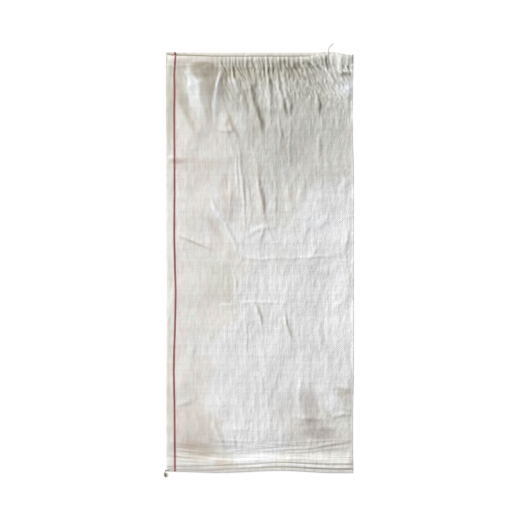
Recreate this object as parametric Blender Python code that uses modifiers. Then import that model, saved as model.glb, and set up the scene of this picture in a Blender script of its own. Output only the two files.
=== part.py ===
"""Woven polypropylene sack, empty and lying on its back panel.

The sack is one seamless woven tube, pressed flat. Its mouth is hemmed inwards and sewn all round, which
gathers the front panel. Its bottom is folded under once, both layers together, and sewn with two rows.
A loose thread end is left at each of the two seams. Metres, +Z up, +Y towards the mouth.
The origin is on the floor, under the middle of the sack.
"""

import math

import bpy
from mathutils import Vector

# Size of the flat sack
SACK_WIDTH = 0.400
SACK_LENGTH = 0.900
HALF_WIDTH = SACK_WIDTH / 2
MOUTH_Y = SACK_LENGTH / 2
BOTTOM_Y = -SACK_LENGTH / 2

# Cloth: two layers that touch keep a small gap, and so do thread and cloth
CLOTH = 0.0004
CLEARANCE = 0.0003
LAYER_STEP = CLOTH + CLEARANCE

# Mouth hem, folded inwards
HEM_DEPTH = 0.0270
HEM_STITCH_DEPTH = 0.0245
FRONT_EDGE_DROP = 0.0075
RIM_TURN = 0.016

# Bottom seam, both panels folded under together. Past it, the panels part over a length of slack
BOTTOM_FLAP = 0.0220
FLAP_STEP = 0.010
SEAM_SLACK = 0.045
EDGE_REACH = 0.10

# How far the front panel stands off the back panel, and the gathers below the hem
PUFF = 0.0075
SIDE_SHOULDER = 0.018
GATHER_PITCH = 0.0267
GATHER_HEIGHT = 0.0011
GATHER_REACH = 0.070
GATHER_START_X = -0.110
GATHER_FULL_X = -0.050

# Sewing thread, the groove that it lies in, and the thicker chain that it makes past the bottom seam
THREAD = 0.0008
STITCH_GROOVE = 0.004
CHAIN = 0.0016
MOUTH_KNOT = (0.0024, 0.0024, 0.0024)
BOTTOM_KNOT = (0.0052, 0.0062, 0.0028)
BOTTOM_KNOT_PLACE = (-0.2010, -0.4538)

# Columns across each panel, and the rings along the sack
FRONT_COLUMNS = 48
BACK_COLUMNS = 24
GATHER_RINGS = 6
GATHER_RING_STEP = 0.026
BODY_RINGS = 9
SEAM_RINGS = (0.075, 0.055, 0.038, 0.030, BOTTOM_FLAP, 0.0015)
TURN_ANGLES = (15, 60, 120, 180)

# Long folds of the front panel: start, end, height and half-width
FRONT_FOLDS = (
    ((-0.148, 0.412), (-0.108, 0.285), 0.0030, 0.014),
    ((-0.062, 0.405), (-0.092, 0.270), 0.0022, 0.012),
    ((0.010, 0.400), (-0.002, 0.215), 0.0020, 0.012),
    ((0.052, 0.395), (0.098, 0.255), 0.0020, 0.013),
    ((0.120, 0.395), (0.185, 0.330), 0.0018, 0.014),
    ((-0.060, 0.165), (-0.045, 0.010), 0.0016, 0.015),
    ((0.085, 0.120), (0.110, -0.060), 0.0014, 0.016),
    ((0.060, -0.345), (0.190, -0.310), 0.0020, 0.014),
    ((-0.150, -0.330), (-0.070, -0.405), 0.0018, 0.013),
)

# Each sewn end is a little wavy. Place across the sack, then how far the edge lies from its straight line
BOTTOM_EDGE = ((-0.200, 0.0035), (-0.090, 0.0005), (0.045, 0.0050), (0.160, 0.0), (0.200, 0.0))
BACK_MOUTH_EDGE = ((-0.200, 0.0), (0.140, 0.0), (0.200, 0.0035))
FRONT_MOUTH_LIFT = ((-0.200, 0.0), (0.095, 0.0), (0.135, 0.0065), (0.152, 0.0065), (0.200, 0.0010))

# The two rows of the bottom seam: place across the sack, then height above the bottom edge
LOWER_ROW = ((-0.200, 0.0045), (-0.130, 0.0050), (-0.070, 0.0080), (0.200, 0.0092))
UPPER_ROW = ((-0.200, 0.0105), (-0.160, 0.0130), (-0.070, 0.0168), (0.200, 0.0190))
LOWER_ROW_START = -0.1950

# The loose end of the mouth's thread: from the stitches over the hem, past the rim and down to the floor
MOUTH_TAIL = (
    (0.1446, 0.4262, 0.0120),
    (0.1450, 0.4310, 0.0112),
    (0.1453, 0.4370, 0.0108),
    (0.1455, 0.4430, 0.0107),
    (0.1457, 0.4486, 0.0105),
    (0.1459, 0.4530, 0.0079),
    (0.1463, 0.4570, 0.0040),
    (0.1480, 0.4604, 0.0012),
    (0.1510, 0.4633, 0.0006),
    (0.1550, 0.4665, 0.0006),
)

# The loose chain of the bottom seam: off the end of the lower row, over the corner and round its own knot
BOTTOM_TAIL = (
    (-0.1957, -0.4420, 0.0037),
    (-0.1978, -0.4421, 0.0037),
    (-0.1998, -0.4427, 0.0034),
    (-0.2014, -0.4440, 0.0026),
    (-0.2024, -0.4460, 0.0016),
    (-0.2031, -0.4482, 0.0010),
    (-0.2041, -0.4508, 0.0009),
    (-0.2048, -0.4538, 0.0009),
    (-0.2034, -0.4571, 0.0009),
    (-0.2010, -0.4581, 0.0009),
    (-0.1986, -0.4571, 0.0009),
    (-0.1972, -0.4538, 0.0009),
    (-0.1986, -0.4505, 0.0009),
    (-0.2003, -0.4496, 0.0009),
)


def smooth(t):
    """0 below 0, 1 above 1, and a soft step between."""
    t = min(1.0, max(0.0, t))
    return t * t * (3 - 2 * t)


def along(points, at):
    """The value at a place, read smoothly between (place, value) pairs."""
    for (a, low), (b, high) in zip(points, points[1:]):
        if at <= b:
            return low + (high - low) * smooth((at - a) / (b - a))
    return points[-1][1]


def fold_height(x, y):
    """What the long folds add to the front panel at a point."""
    total = 0.0
    for start, end, height, half_width in FRONT_FOLDS:
        a, b, p = Vector(start), Vector(end), Vector((x, y))
        t = min(1.0, max(0.0, (p - a).dot(b - a) / (b - a).length_squared))
        away = (p - a.lerp(b, t)).length / half_width
        taper = 1 - 0.5 * abs(2 * t - 1)
        total += height * taper * math.exp(-away * away)
    return total


def gather_height(x, y):
    """Ripples that the tight hem thread makes in the front panel, fading out below the hem."""
    across = smooth((x - GATHER_START_X) / (GATHER_FULL_X - GATHER_START_X))
    near_hem = math.exp(-max(0.0, MOUTH_Y - HEM_DEPTH - y) / GATHER_REACH)
    return GATHER_HEIGHT * across * near_hem * math.sin(2 * math.pi * x / GATHER_PITCH)


def middle(x):
    """0 at the side creases, rising over a soft shoulder to 1."""
    return 1 - math.exp(-max(0.0, HALF_WIDTH - abs(x)) / SIDE_SHOULDER)


def side_gap(y):
    """Distance between the two panels at the side creases: wider where the hem is tucked in."""
    in_hem = smooth((y - (MOUTH_Y - 2 * HEM_DEPTH)) / (0.5 * HEM_DEPTH))
    return LAYER_STEP * (1 + 2 * in_hem)


def back_height(y):
    """Middle of the back panel's cloth. It lies on the floor, over its stitches and over the bottom flap."""
    over_flap = smooth((BOTTOM_Y + BOTTOM_FLAP + 1.2 * FLAP_STEP - y) / FLAP_STEP)
    away = (y - (MOUTH_Y - HEM_STITCH_DEPTH)) / STITCH_GROOVE
    over_thread = math.exp(-away * away)
    return CLOTH / 2 + 2 * LAYER_STEP * over_flap + (THREAD + 1.5 * CLEARANCE) * over_thread


def front_height(x, y):
    """Middle of the front panel's cloth."""
    slack = smooth((y - (BOTTOM_Y + BOTTOM_FLAP)) / SEAM_SLACK)
    lift = (PUFF + fold_height(x, y)) * slack + gather_height(x, y)
    return back_height(y) + side_gap(y) + middle(x) * lift


def bottom_shift(x, y):
    """Moves the sewn bottom in to its wavy edge."""
    return along(BOTTOM_EDGE, x) * smooth((BOTTOM_Y + EDGE_REACH - y) / (0.8 * EDGE_REACH))


def near_mouth(y):
    """1 at the mouth, falling to 0 a hand's width below it."""
    return smooth((y - (MOUTH_Y - EDGE_REACH)) / (0.8 * EDGE_REACH))


def front_point(x, y, tuck=0.0):
    """A point of the front panel. Its gathered edge dips below the back edge, from where both meet at a crease."""
    back_edge = -along(BACK_MOUTH_EDGE, x)
    front_edge = along(FRONT_MOUTH_LIFT, x) - FRONT_EDGE_DROP
    edge = back_edge + (front_edge - back_edge) * smooth((HALF_WIDTH - abs(x)) / RIM_TURN)
    shift = bottom_shift(x, y) + edge * near_mouth(y)
    return Vector((x, y + shift, front_height(x, y) - LAYER_STEP * tuck))


def back_point(x, y, tuck=0.0):
    """A point of the back panel, whose mouth edge slopes down a little at the right."""
    shift = bottom_shift(x, y) - along(BACK_MOUTH_EDGE, x) * near_mouth(y)
    return Vector((x, y + shift, back_height(y) + LAYER_STEP * tuck))


def closed_ring(front, back, half):
    """The ring through a front line and a back line, with a tight turn at each side crease."""
    across = half - 0.5 * (front(half) - back(half)).length
    points = [front(across * (2 * i / FRONT_COLUMNS - 1)) for i in range(FRONT_COLUMNS + 1)]
    points.append((front(half) + back(half)) / 2)
    points += [back(across * (1 - 2 * i / BACK_COLUMNS)) for i in range(BACK_COLUMNS + 1)]
    points.append((front(-half) + back(-half)) / 2)
    return points


def wall_ring(y, tuck=0.0):
    """One ring of the tube. tuck is 0 in the outer layer and 1 in the hem inside it."""
    half = HALF_WIDTH - math.sqrt(2) * LAYER_STEP * tuck
    return closed_ring(lambda x: front_point(x, y, tuck), lambda x: back_point(x, y, tuck), half)


def turned_ring(angle, run=0.0):
    """One ring of the bottom fold: both panels turn under together by an angle, then run back by a length."""
    outer, inner = 1.5 * LAYER_STEP, 0.5 * LAYER_STEP

    def turned(x, radius):
        y = BOTTOM_Y + outer - radius * math.sin(angle) + run + bottom_shift(x, BOTTOM_Y)
        return Vector((x, y, CLOTH / 2 + outer + radius * math.cos(angle)))

    return closed_ring(lambda x: turned(x, outer), lambda x: turned(x, inner), HALF_WIDTH)


def tube_rings():
    """All rings, from the raw edge tucked into the mouth, over the rim, down the sack and round the bottom."""
    rim = MOUTH_Y - LAYER_STEP / 2
    stitch = MOUTH_Y - HEM_STITCH_DEPTH
    hem = (rim, MOUTH_Y - 0.4 * HEM_STITCH_DEPTH, stitch + STITCH_GROOVE, stitch)
    rings = [wall_ring(MOUTH_Y - HEM_DEPTH, tuck=1.0)]
    rings += [wall_ring(y, tuck=1.0) for y in reversed(hem)]
    rings.append(wall_ring(MOUTH_Y, tuck=0.5))
    rings += [wall_ring(y) for y in hem]
    gathers = [stitch - STITCH_GROOVE - GATHER_RING_STEP * i for i in range(GATHER_RINGS)]
    seam = [BOTTOM_Y + up for up in SEAM_RINGS]
    body = [gathers[-1] + (seam[0] - gathers[-1]) * i / BODY_RINGS for i in range(1, BODY_RINGS)]
    rings += [wall_ring(y) for y in (*gathers, *body, *seam)]
    rings += [turned_ring(math.radians(angle)) for angle in TURN_ANGLES]
    rings.append(turned_ring(math.pi, run=BOTTOM_FLAP))
    return rings


def material(name, colour, roughness):
    """A plain Principled material."""
    made = bpy.data.materials.new(name)
    made.use_nodes = True
    shader = made.node_tree.nodes["Principled BSDF"]
    shader.inputs["Base Color"].default_value = (*colour, 1.0)
    shader.inputs["Roughness"].default_value = roughness
    shader.inputs["Metallic"].default_value = 0.0
    return made


def link(name, data, finish):
    """A named object in the sack's collection, with its material."""
    made = bpy.data.objects.new(name, data)
    data.materials.append(finish)
    bpy.data.collections["woven_polypropylene_sack"].objects.link(made)
    return made


def woven_tube(finish):
    """The cloth: an open tube through the middle of its thickness, thickened by Solidify."""
    rings = tube_rings()
    count = len(rings[0])
    faces = []
    for k in range(len(rings) - 1):
        for i in range(count):
            j = (i + 1) % count
            faces.append((k * count + i, (k + 1) * count + i, (k + 1) * count + j, k * count + j))
    mesh = bpy.data.meshes.new("woven_tube")
    mesh.from_pydata([point for ring in rings for point in ring], [], faces)
    made = link("woven_tube", mesh, finish)
    mesh.shade_smooth()
    mesh.set_sharp_from_angle(angle=math.radians(50))
    thick = made.modifiers.new("cloth", "SOLIDIFY")
    thick.thickness = CLOTH
    thick.offset = 0.0
    thick.use_even_offset = True
    return made


def thread(name, route, finish, thick=THREAD, closed=False, rounding=1, radii=None):
    """A thread along a route. radii gives each point's share of the full radius."""
    curve = bpy.data.curves.new(name, "CURVE")
    curve.dimensions = "3D"
    curve.bevel_depth = thick / 2
    curve.bevel_resolution = rounding
    curve.use_fill_caps = not closed
    spline = curve.splines.new("POLY")
    spline.points.add(len(route) - 1)
    spline.use_cyclic_u = closed
    for i, place in enumerate(route):
        spline.points[i].co = (*place, 1.0)
        spline.points[i].radius = radii[i] if radii else 1.0
    return link(name, curve, finish)


def stitch_radii(count):
    """Full in the middle of each stitch, and drawn in where the needle went through."""
    return [1.0 if i % 2 else 0.65 for i in range(count)]


def on_front(x, y):
    """The middle of a thread that lies on the front panel."""
    return front_point(x, y) + Vector((0, 0, CLOTH / 2 + CLEARANCE + THREAD / 2))


def mouth_hem_stitching(finish):
    """One closed line of stitches round the hem, over the front panel and under the back panel."""
    y = MOUTH_Y - HEM_STITCH_DEPTH
    across = HALF_WIDTH - 0.5 * (front_point(HALF_WIDTH, y) - back_point(HALF_WIDTH, y)).length
    steps = [across * (2 * i / FRONT_COLUMNS - 1) for i in range(FRONT_COLUMNS + 1)]
    over = [on_front(x, y) for x in steps]
    under = [Vector((x, back_point(x, y).y, THREAD / 2)) for x in reversed(steps)]
    side = HALF_WIDTH + 2 * (CLOTH / 2 + CLEARANCE + THREAD / 2)
    turns = []
    for sign, top, foot in ((1, over[-1], under[0]), (-1, over[0], under[-1])):
        turns.append(Vector((sign * side, (top.y + foot.y) / 2, (top.z + foot.z) / 2)))
    route = [*over, turns[0], *under, turns[1]]
    return thread("mouth_hem_stitching", route, finish, closed=True, radii=stitch_radii(len(route)))


def bottom_stitching(name, row, first_x, finish):
    """One row of stitches across the bottom seam, from a first place to the right crease."""
    last_x = HALF_WIDTH - 0.5 * LAYER_STEP
    steps = [first_x + (last_x - first_x) * i / FRONT_COLUMNS for i in range(FRONT_COLUMNS + 1)]
    route = [on_front(x, BOTTOM_Y + along(row, x)) for x in steps]
    return thread(name, route, finish, radii=stitch_radii(len(route)))


def smooth_route(points, steps):
    """A Catmull-Rom curve through a short list of points."""
    ends = (2 * points[0] - points[1], 2 * points[-1] - points[-2])
    padded = [ends[0], *points, ends[1]]
    route = []
    for a, b, c, d in zip(padded, padded[1:], padded[2:], padded[3:]):
        for i in range(steps):
            t = i / steps
            bend = (2 * a - 5 * b + 4 * c - d) * t * t + (3 * b - a - 3 * c + d) * t**3
            route.append((2 * b + (c - a) * t + bend) / 2)
    return [*route, points[-1]]


def knot(name, size, place, finish):
    """A small round knot that lies on the floor."""
    centre = (*place, size[2] / 2)
    bpy.ops.mesh.primitive_uv_sphere_add(segments=12, ring_count=8, radius=0.5, location=centre)
    made = bpy.context.object
    made.name = name
    made.scale = size
    bpy.ops.object.transform_apply(location=False, rotation=False, scale=True)
    made.data.shade_smooth()
    made.data.materials.append(finish)
    for holder in list(made.users_collection):
        holder.objects.unlink(made)
    bpy.data.collections["woven_polypropylene_sack"].objects.link(made)
    return made


def mouth_thread_tail(finish):
    """The mouth's loose thread end, and the knot that closes it."""
    route = smooth_route([Vector(p) for p in MOUTH_TAIL], 3)
    thread("mouth_thread_tail", route, finish, rounding=2)
    onward = (route[-1] - route[-2]).normalized()
    place = route[-1] + onward * (MOUTH_KNOT[0] / 2 + CLEARANCE)
    knot("mouth_tail_knot", MOUTH_KNOT, (place.x, place.y), finish)


def bottom_thread_tail(finish):
    """The bottom seam's loose chain of thread, and the knot that it loops round."""
    route = smooth_route([Vector(p) for p in BOTTOM_TAIL], 3)
    thread("bottom_thread_tail", route, finish, thick=CHAIN, rounding=2)
    knot("bottom_tail_knot", BOTTOM_KNOT, BOTTOM_KNOT_PLACE, finish)


def build():
    """Clears the scene and makes every piece."""
    for old in list(bpy.data.objects):
        bpy.data.objects.remove(old)
    sack = bpy.data.collections.new("woven_polypropylene_sack")
    bpy.context.scene.collection.children.link(sack)
    white = material("white_thread", (0.72, 0.70, 0.64), 0.7)
    woven_tube(material("white_woven_cloth", (0.78, 0.77, 0.74), 0.45))
    mouth_hem_stitching(white)
    bottom_stitching("bottom_stitching_lower", LOWER_ROW, LOWER_ROW_START, white)
    bottom_stitching("bottom_stitching_upper", UPPER_ROW, LAYER_STEP / 2 - HALF_WIDTH, white)
    mouth_thread_tail(material("grey_thread", (0.42, 0.41, 0.39), 0.75))
    bottom_thread_tail(material("brown_thread", (0.33, 0.23, 0.12), 0.8))


build()
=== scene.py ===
"""Looks of the woven polypropylene sack: its folded cloth, its stitches and its loose thread ends.

Metres, +Z up, +Y towards the mouth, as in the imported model. The sack lies on its back panel. Places read
from the photograph are pixels of its 520 x 520 frame, x to the right and y down. seen() turns them
into metres.
"""

import math

import bpy
import numpy as np
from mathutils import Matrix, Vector


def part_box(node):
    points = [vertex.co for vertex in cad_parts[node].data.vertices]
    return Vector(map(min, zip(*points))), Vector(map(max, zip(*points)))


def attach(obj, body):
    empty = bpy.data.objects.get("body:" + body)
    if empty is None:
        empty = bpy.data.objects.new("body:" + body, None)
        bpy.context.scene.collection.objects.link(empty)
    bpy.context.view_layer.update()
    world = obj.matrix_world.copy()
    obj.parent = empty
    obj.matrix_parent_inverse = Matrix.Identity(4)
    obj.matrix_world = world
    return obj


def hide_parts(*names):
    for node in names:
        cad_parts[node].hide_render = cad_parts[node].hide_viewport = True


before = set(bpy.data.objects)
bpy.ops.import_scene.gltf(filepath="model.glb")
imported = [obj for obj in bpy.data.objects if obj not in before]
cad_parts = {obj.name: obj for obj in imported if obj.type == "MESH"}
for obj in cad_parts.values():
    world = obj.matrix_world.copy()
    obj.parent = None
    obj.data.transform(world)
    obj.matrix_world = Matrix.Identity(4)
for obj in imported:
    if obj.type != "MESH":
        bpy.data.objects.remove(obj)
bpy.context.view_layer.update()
BODY = "root"

# The photograph: metres in a pixel at the sack's height, the pixel over the origin, and the camera's lens
PHOTO_PIXEL = 0.002136
PHOTO_SIDE = 520
PHOTO_ORIGIN = (260.0, 262.6)
PICTURE_Z = 0.004
LENS = 100.0
SENSOR = 36.0

# Size of the flat sack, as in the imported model, and of its cloth, threads, hem and bottom
SACK_WIDTH = 0.400
SACK_LENGTH = 0.900
HALF_WIDTH = SACK_WIDTH / 2
MOUTH_Y = SACK_LENGTH / 2
BOTTOM_Y = -SACK_LENGTH / 2
CLOTH = 0.0004
CLEARANCE = 0.0003
LAYER_STEP = CLOTH + CLEARANCE
THREAD = 0.0008
TAIL_THREAD = 0.0012
CHAIN = 0.0018
HEM_DEPTH = 0.0270
HEM_STITCH_DEPTH = 0.0245
HEM_ROW_Y = MOUTH_Y - HEM_STITCH_DEPTH
FRONT_EDGE_DROP = 0.0075
RIM_TURN = 0.0045
BOTTOM_FLAP = 0.0220
FLAP_STEP = 0.010
EDGE_REACH = 0.10
STITCH_GROOVE = 0.004
PUFF = 0.0075
SHOULDER = 0.018
FREE_FROM_SIDE = 0.012
LEAST_LIFT = 0.0002

# Values at places across the sack: how far its edges are pulled in, the height of the two rows of stitches
# above the folded edge, where they start, and how dark the painted shade in their grooves is
BOTTOM_EDGE = ((-0.200, 0.0035), (-0.090, 0.0005), (0.045, 0.0050), (0.160, 0.0), (0.200, 0.0))
BACK_MOUTH_EDGE = ((-0.200, 0.0), (0.140, 0.0), (0.200, 0.0035))
FRONT_MOUTH_LIFT = ((-0.200, 0.0012), (-0.150, 0.0004), (-0.090, -0.0014), (0.100, -0.0014), (0.135, 0.0062),
                    (0.152, 0.0062), (0.200, 0.0010))
LOWER_ROW = ((-0.200, 0.0045), (-0.130, 0.0050), (-0.070, 0.0080), (0.200, 0.0092))
UPPER_ROW = ((-0.200, 0.0105), (-0.160, 0.0130), (-0.070, 0.0168), (0.200, 0.0190))
LOWER_ROW_START = -0.1950
UPPER_ROW_START = -0.1996
LOWER_SHADE = ((-0.200, 0.25), (-0.050, 0.35), (0.060, 0.60), (0.200, 0.66))
UPPER_SHADE = ((-0.200, 0.20), (0.200, 0.34))
ROW_LINE = 0.0013

# Stitches: pitch and length of those of the hem, on its front and under its back, and of those of the seam
HEM_PITCH = 0.0056
FRONT_STITCH = 0.0046
BACK_STITCH = 0.0052
SEAM_PITCH = 0.0052
SEAM_STITCH = 0.0044
ON_CLOTH = (CLOTH + THREAD) / 2
HEM_ROW_END = HALF_WIDTH - 0.0040
SEAM_ROW_END = HALF_WIDTH - 0.0006
PLIES = 3

# Loose ends: length of a twist of the thread and of the chain, thickness of the thread in each knot, and how
# far the bottom knot fills out its solid
TAIL_PITCH = 0.0030
CHAIN_PITCH = 0.0032
MOUTH_KNOT_THREAD = 0.0009
BOTTOM_KNOT_THREAD = 0.0019
BOTTOM_KNOT_FILL = (1.2, 1.3, 1.0)
KNOT_POINTS = 72

# The loose end of the mouth's thread, from the stitches to the floor past the rim, how many of its points lie
# on the hem, and the width of the pleat that carries them
MOUTH_TAIL = (
    (0.1446, 0.4262, 0.0120),
    (0.1450, 0.4310, 0.0112),
    (0.1453, 0.4370, 0.0108),
    (0.1455, 0.4430, 0.0107),
    (0.1457, 0.4486, 0.0105),
    (0.1459, 0.4530, 0.0079),
    (0.1463, 0.4570, 0.0040),
    (0.1480, 0.4604, 0.0012),
    (0.1510, 0.4633, 0.0006),
    (0.1550, 0.4665, 0.0006),
)
TAIL_ON_HEM = 5
TAIL_PLEAT = 0.0032
TAIL_PLEAT_FROM = 0.415

# The loose chain of the bottom seam, off the lower row, over the corner and round its own knot
BOTTOM_TAIL = (
    (-0.1957, -0.4420, 0.0037),
    (-0.1978, -0.4421, 0.0037),
    (-0.1998, -0.4427, 0.0034),
    (-0.2014, -0.4440, 0.0026),
    (-0.2024, -0.4460, 0.0016),
    (-0.2031, -0.4482, 0.0010),
    (-0.2041, -0.4508, 0.0009),
    (-0.2048, -0.4538, 0.0009),
    (-0.2034, -0.4571, 0.0009),
    (-0.2010, -0.4581, 0.0009),
    (-0.1986, -0.4571, 0.0009),
    (-0.1972, -0.4538, 0.0009),
    (-0.1986, -0.4505, 0.0009),
    (-0.2003, -0.4496, 0.0009),
)

# How far the left and the right side crease lie beyond the flat sack's side, from the bottom up
LEFT_SIDE = ((-0.450, 0.0), (-0.400, -0.0004), (-0.330, -0.0006), (-0.200, 0.0), (-0.050, 0.0),
             (0.060, -0.0011), (0.400, -0.0012), (0.450, -0.0012))
RIGHT_SIDE = ((-0.450, -0.0008), (-0.400, -0.0012), (-0.320, -0.0012), (-0.240, 0.0006), (0.190, 0.0006),
              (0.270, -0.0014), (0.380, -0.0014), (0.430, -0.0003), (0.450, -0.0003))

# The hem: its swell, how low the cloth lies below it, and its groove
HEM_BULGE = 0.0022
HEM_SAG = 0.0010
HEM_GROOVE = 0.0003
HEM_GROOVE_WIDTH = 0.0022

# The rim: its ruffles near the right crease, its dark line of painted shade, fainter from a place on, and the
# painted light on the back panel's rim behind it
RUFFLES_FROM = 0.085
RUFFLE_LENGTH = 0.0110
RUFFLE_HEIGHT = 0.0008
RIM_LINE = 0.0015
RIM_SHADE = 0.86
RIM_FAINTER = 0.75
RIM_FAINT_FROM = 0.0911
RIM_PAINTED_LIGHT = (1.13, 1.13, 1.11)

# Painted shade down in the folds: the weights of the neighbours that a place is compared with, the depth
# that shades it fully, and how much it takes from red, green and blue
NEIGHBOURS = (1, 2, 3, 2, 1)
FULL_DEPTH = 0.0005
FOLD_SHADE = (0.38, 0.40, 0.46)

# Bottom: where the two panels part again, above the seam, and how high the cloth swells beside its two rows
SLACK_FROM = 0.0330
SLACK_LENGTH = 0.060
SEAM_SWELL = ((-0.200, 0.0009), (-0.060, 0.0009), (0.020, 0.0014), (0.090, 0.0021), (0.200, 0.0021))
SEAM_REACH = 0.021
SEAM_RELIEF_TOP = -0.36
SEAM_TIGHT = 0.0195

# Weave: tapes across the flat tube's whole girth, the red pair counted from the left crease, and its middle
# in the photograph, as pairs of a pixel down and a pixel across
TAPES_ROUND = 316
TAPE = 2 * SACK_WIDTH / TAPES_ROUND
RED_FRONT = (6, 8)
RED_BACK = (TAPES_ROUND - 9, TAPES_ROUND - 7)
STRIPE_X = (
    (52, 175.7), (60, 175.0), (72, 174.3), (92, 174.7), (112, 174.5), (152, 174.7), (192, 174.75),
    (232, 174.5), (272, 174.9), (292, 175.5), (312, 175.2), (332, 174.7), (352, 173.9), (372, 173.7),
    (392, 174.2), (412, 174.6), (472, 174.8),
)

# What is added to the number of a weft tape, so that no warp tape has the same
WEFT_NUMBERS = 971

# Above the seam the single wefts show more: middle of that zone, and its faint and its full reach, in tapes
STREAKED_AT = -167
STREAKED_REACH = (14, 8)

# The cloth's mesh: lengthways lines as shares of the way across the front panel, closer together where it is
# gathered, and back across the back panel, and zones of rings, each with the place of its end and its step
FRONT_LINES = np.concatenate([np.linspace(-1.0, -0.47, 33)[:-1], np.linspace(-0.47, 1.0, 150)])
BACK_LINES = np.linspace(1.0, -1.0, 7)
RING_STEPS = (
    (MOUTH_Y - 0.0036, 0.0012), (MOUTH_Y - HEM_STITCH_DEPTH - 0.004, 0.0021), (0.300, 0.0029),
    (0.235, 0.0037), (0.212, 0.0030), (0.075, 0.0058), (0.022, 0.0035), (-0.006, 0.0024),
    (-0.078, 0.0062), (-0.092, 0.0024), (-0.262, 0.0066), (-0.300, 0.0045), (-0.340, 0.0036),
    (-0.375, 0.0042), (BOTTOM_Y + 0.0015, 0.0018),
)

# The cloth's colours, with the bluish white of its painted sheen
PINKISH = (0.700, 0.664, 0.634, 1)
GREENISH = (0.708, 0.706, 0.672, 1)
SHEEN_WHITE = (0.742, 0.743, 0.744, 1)
RED_TAPE = (0.135, 0.001, 0.006, 1)
RED_UNDER_WEFT = (0.560, 0.250, 0.250, 1)

# The threads' colours, each with the darker one between the plies. A loose end is as clean as the stitches up
# to a place and soiled from the next: axis, and the two places.
WHITE_THREAD = ((0.74, 0.72, 0.66, 1), (0.46, 0.43, 0.36, 1))
GREY_THREAD = ((0.26, 0.25, 0.24, 1), (0.14, 0.13, 0.12, 1))
BROWN_THREAD = ((0.30, 0.21, 0.10, 1), (0.055, 0.036, 0.017, 1))
CLEAN_THREAD = (0.660, 0.640, 0.590, 1)
MOUTH_SOILING = (1, 0.447, 0.451)
BOTTOM_SOILING = (0, -0.199, -0.2012)

# Studio: glow of the floor, strength and side of the key light, and the light all round
FLOOR_GLOW = 0.84
KEY_STRENGTH = 4.1
KEY_SIDE = (-0.60, 0.60, 0.52)
ROOM_LIGHT = 0.38


def seen(px, py):
    """The place on the floor that a pixel of the photograph shows."""
    return (px - PHOTO_ORIGIN[0]) * PHOTO_PIXEL, (PHOTO_ORIGIN[1] - py) * PHOTO_PIXEL


# Folds of the front panel. Each goes down the photograph, or from right to left. A station is a pixel, the
# height there, and the widths of the flank on the left or upper side and of that on the right or lower side,
# all three in mm.
TOP_FOLDS = (
    # white facet at the left and the shaded slope beside it
    ((187, 62, 0, 4, 20), (190, 72, 2.3, 12, 46), (196, 83, 4.8, 26, 54), (199, 95, 4.6, 25, 56),
     (203, 108, 2.8, 25, 44), (207, 124, 0, 18, 30)),
    # second facet and the V that follows it
    ((221.5, 66, 0, 3, 5), (219.5, 76, 1.7, 6, 8), (217, 86, 1.8, 7, 10), (215.5, 102, 1.3, 7, 10),
     (214.5, 118, 0.8, 7, 10), (213, 128, 0, 7, 10)),
    # white wedge right of the V, with its dark diagonal side
    ((229.5, 66, 0, 3, 4), (232, 76, 1.8, 5, 5), (236, 86, 1.5, 8, 8), (243, 104, 1, 10, 12),
     (250, 124, 0, 9, 12)),
    # thin diagonals
    ((233, 64, 0, 3, 3), (238, 74, 0.9, 4, 4), (243, 84, 0.7, 4, 4), (249, 97, 0, 4, 5)),
    # long shaded band in the middle
    ((246, 66, 0, 4, 5), (248, 78, 1.7, 8, 8), (250.5, 92, 2.6, 12, 9), (255, 108, 2.6, 14, 9),
     (261, 128, 1.5, 14, 10), (266, 146, 0, 12, 10)),
    # bright strips below the middle of the hem
    ((262, 62, 0, 3, 3), (263, 72, 1.2, 4, 4), (263.5, 82, 0, 4, 4)),
    ((266, 66, 0, 4, 3), (268.5, 80, 2.2, 9, 5), (270, 94, 2, 11, 7), (270, 112, 1.4, 12, 10),
     (270, 130, 0, 10, 10)),
    ((271.5, 62, 0, 3, 3), (272.5, 70, 1.1, 4, 3), (274, 79, 0, 4, 4)),
    # bright strip and the black pleats right of it
    ((276, 74, 0, 4, 4), (279, 88, 1.6, 7, 5), (282.5, 100, 2.2, 9, 5), (283.5, 110, 1.8, 8, 5),
     (285, 122, 0, 7, 6)),
    ((283, 84, 0, 3, 4), (286, 96, 1.5, 4, 5), (288, 107, 2, 5, 5), (289, 117, 0, 5, 5)),
    ((314, 86, 0, 4, 4), (318, 99, 1.4, 7, 5), (319.5, 108, 1.7, 8, 4), (320, 117, 0, 6, 4)),
    ((318, 134, 0, 4, 4), (318.8, 142, 0.8, 6, 6), (318.5, 156, 0.7, 6, 6), (318, 164, 0, 4, 4)),
    ((279, 124, 0, 4, 4), (281.5, 134, 1, 7, 4), (283, 143, 0, 6, 4)),
    # diagonals in the upper right
    ((296, 66, 0, 3, 4), (303, 74, 1.4, 6, 6), (312, 83, 0.9, 7, 7), (322, 94, 0, 7, 8)),
    ((306, 57, 0, 3, 4), (312, 64, 1.3, 5, 4), (318, 71, 0.9, 5, 5), (326, 79, 0, 5, 6)),
    ((300, 80, 0, 4, 4), (312, 88, 1.2, 7, 7), (326, 96, 0.8, 8, 8), (340, 104, 0, 8, 9)),
    ((320, 66, 0, 5, 5), (332, 80, 1.6, 10, 10), (345, 98, 1.2, 12, 12), (352, 112, 0, 10, 10)),
    # pleats through the hem near the right crease
    ((325, 54, 0, 4, 4), (325.5, 62, 1.2, 7, 3), (326, 72, 0, 5, 4)),
    ((341, 53, 0, 6, 4), (340.5, 63, 1.5, 9, 4), (340, 75, 0, 7, 5)),
    ((354, 72.5, 0.6, 4, 5), (346, 73, 1.7, 6, 9), (336, 74, 0, 5, 6)),
    # low swells that shade the area round the facets
    ((205, 118, 0, 20, 20), (196, 134, 1.2, 22, 26), (190, 160, 0, 26, 26)),
    ((222, 112, 0, 14, 12), (226, 132, 1.8, 22, 18), (236, 158, 1, 22, 20), (242, 190, 0, 20, 20)),
)

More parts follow.
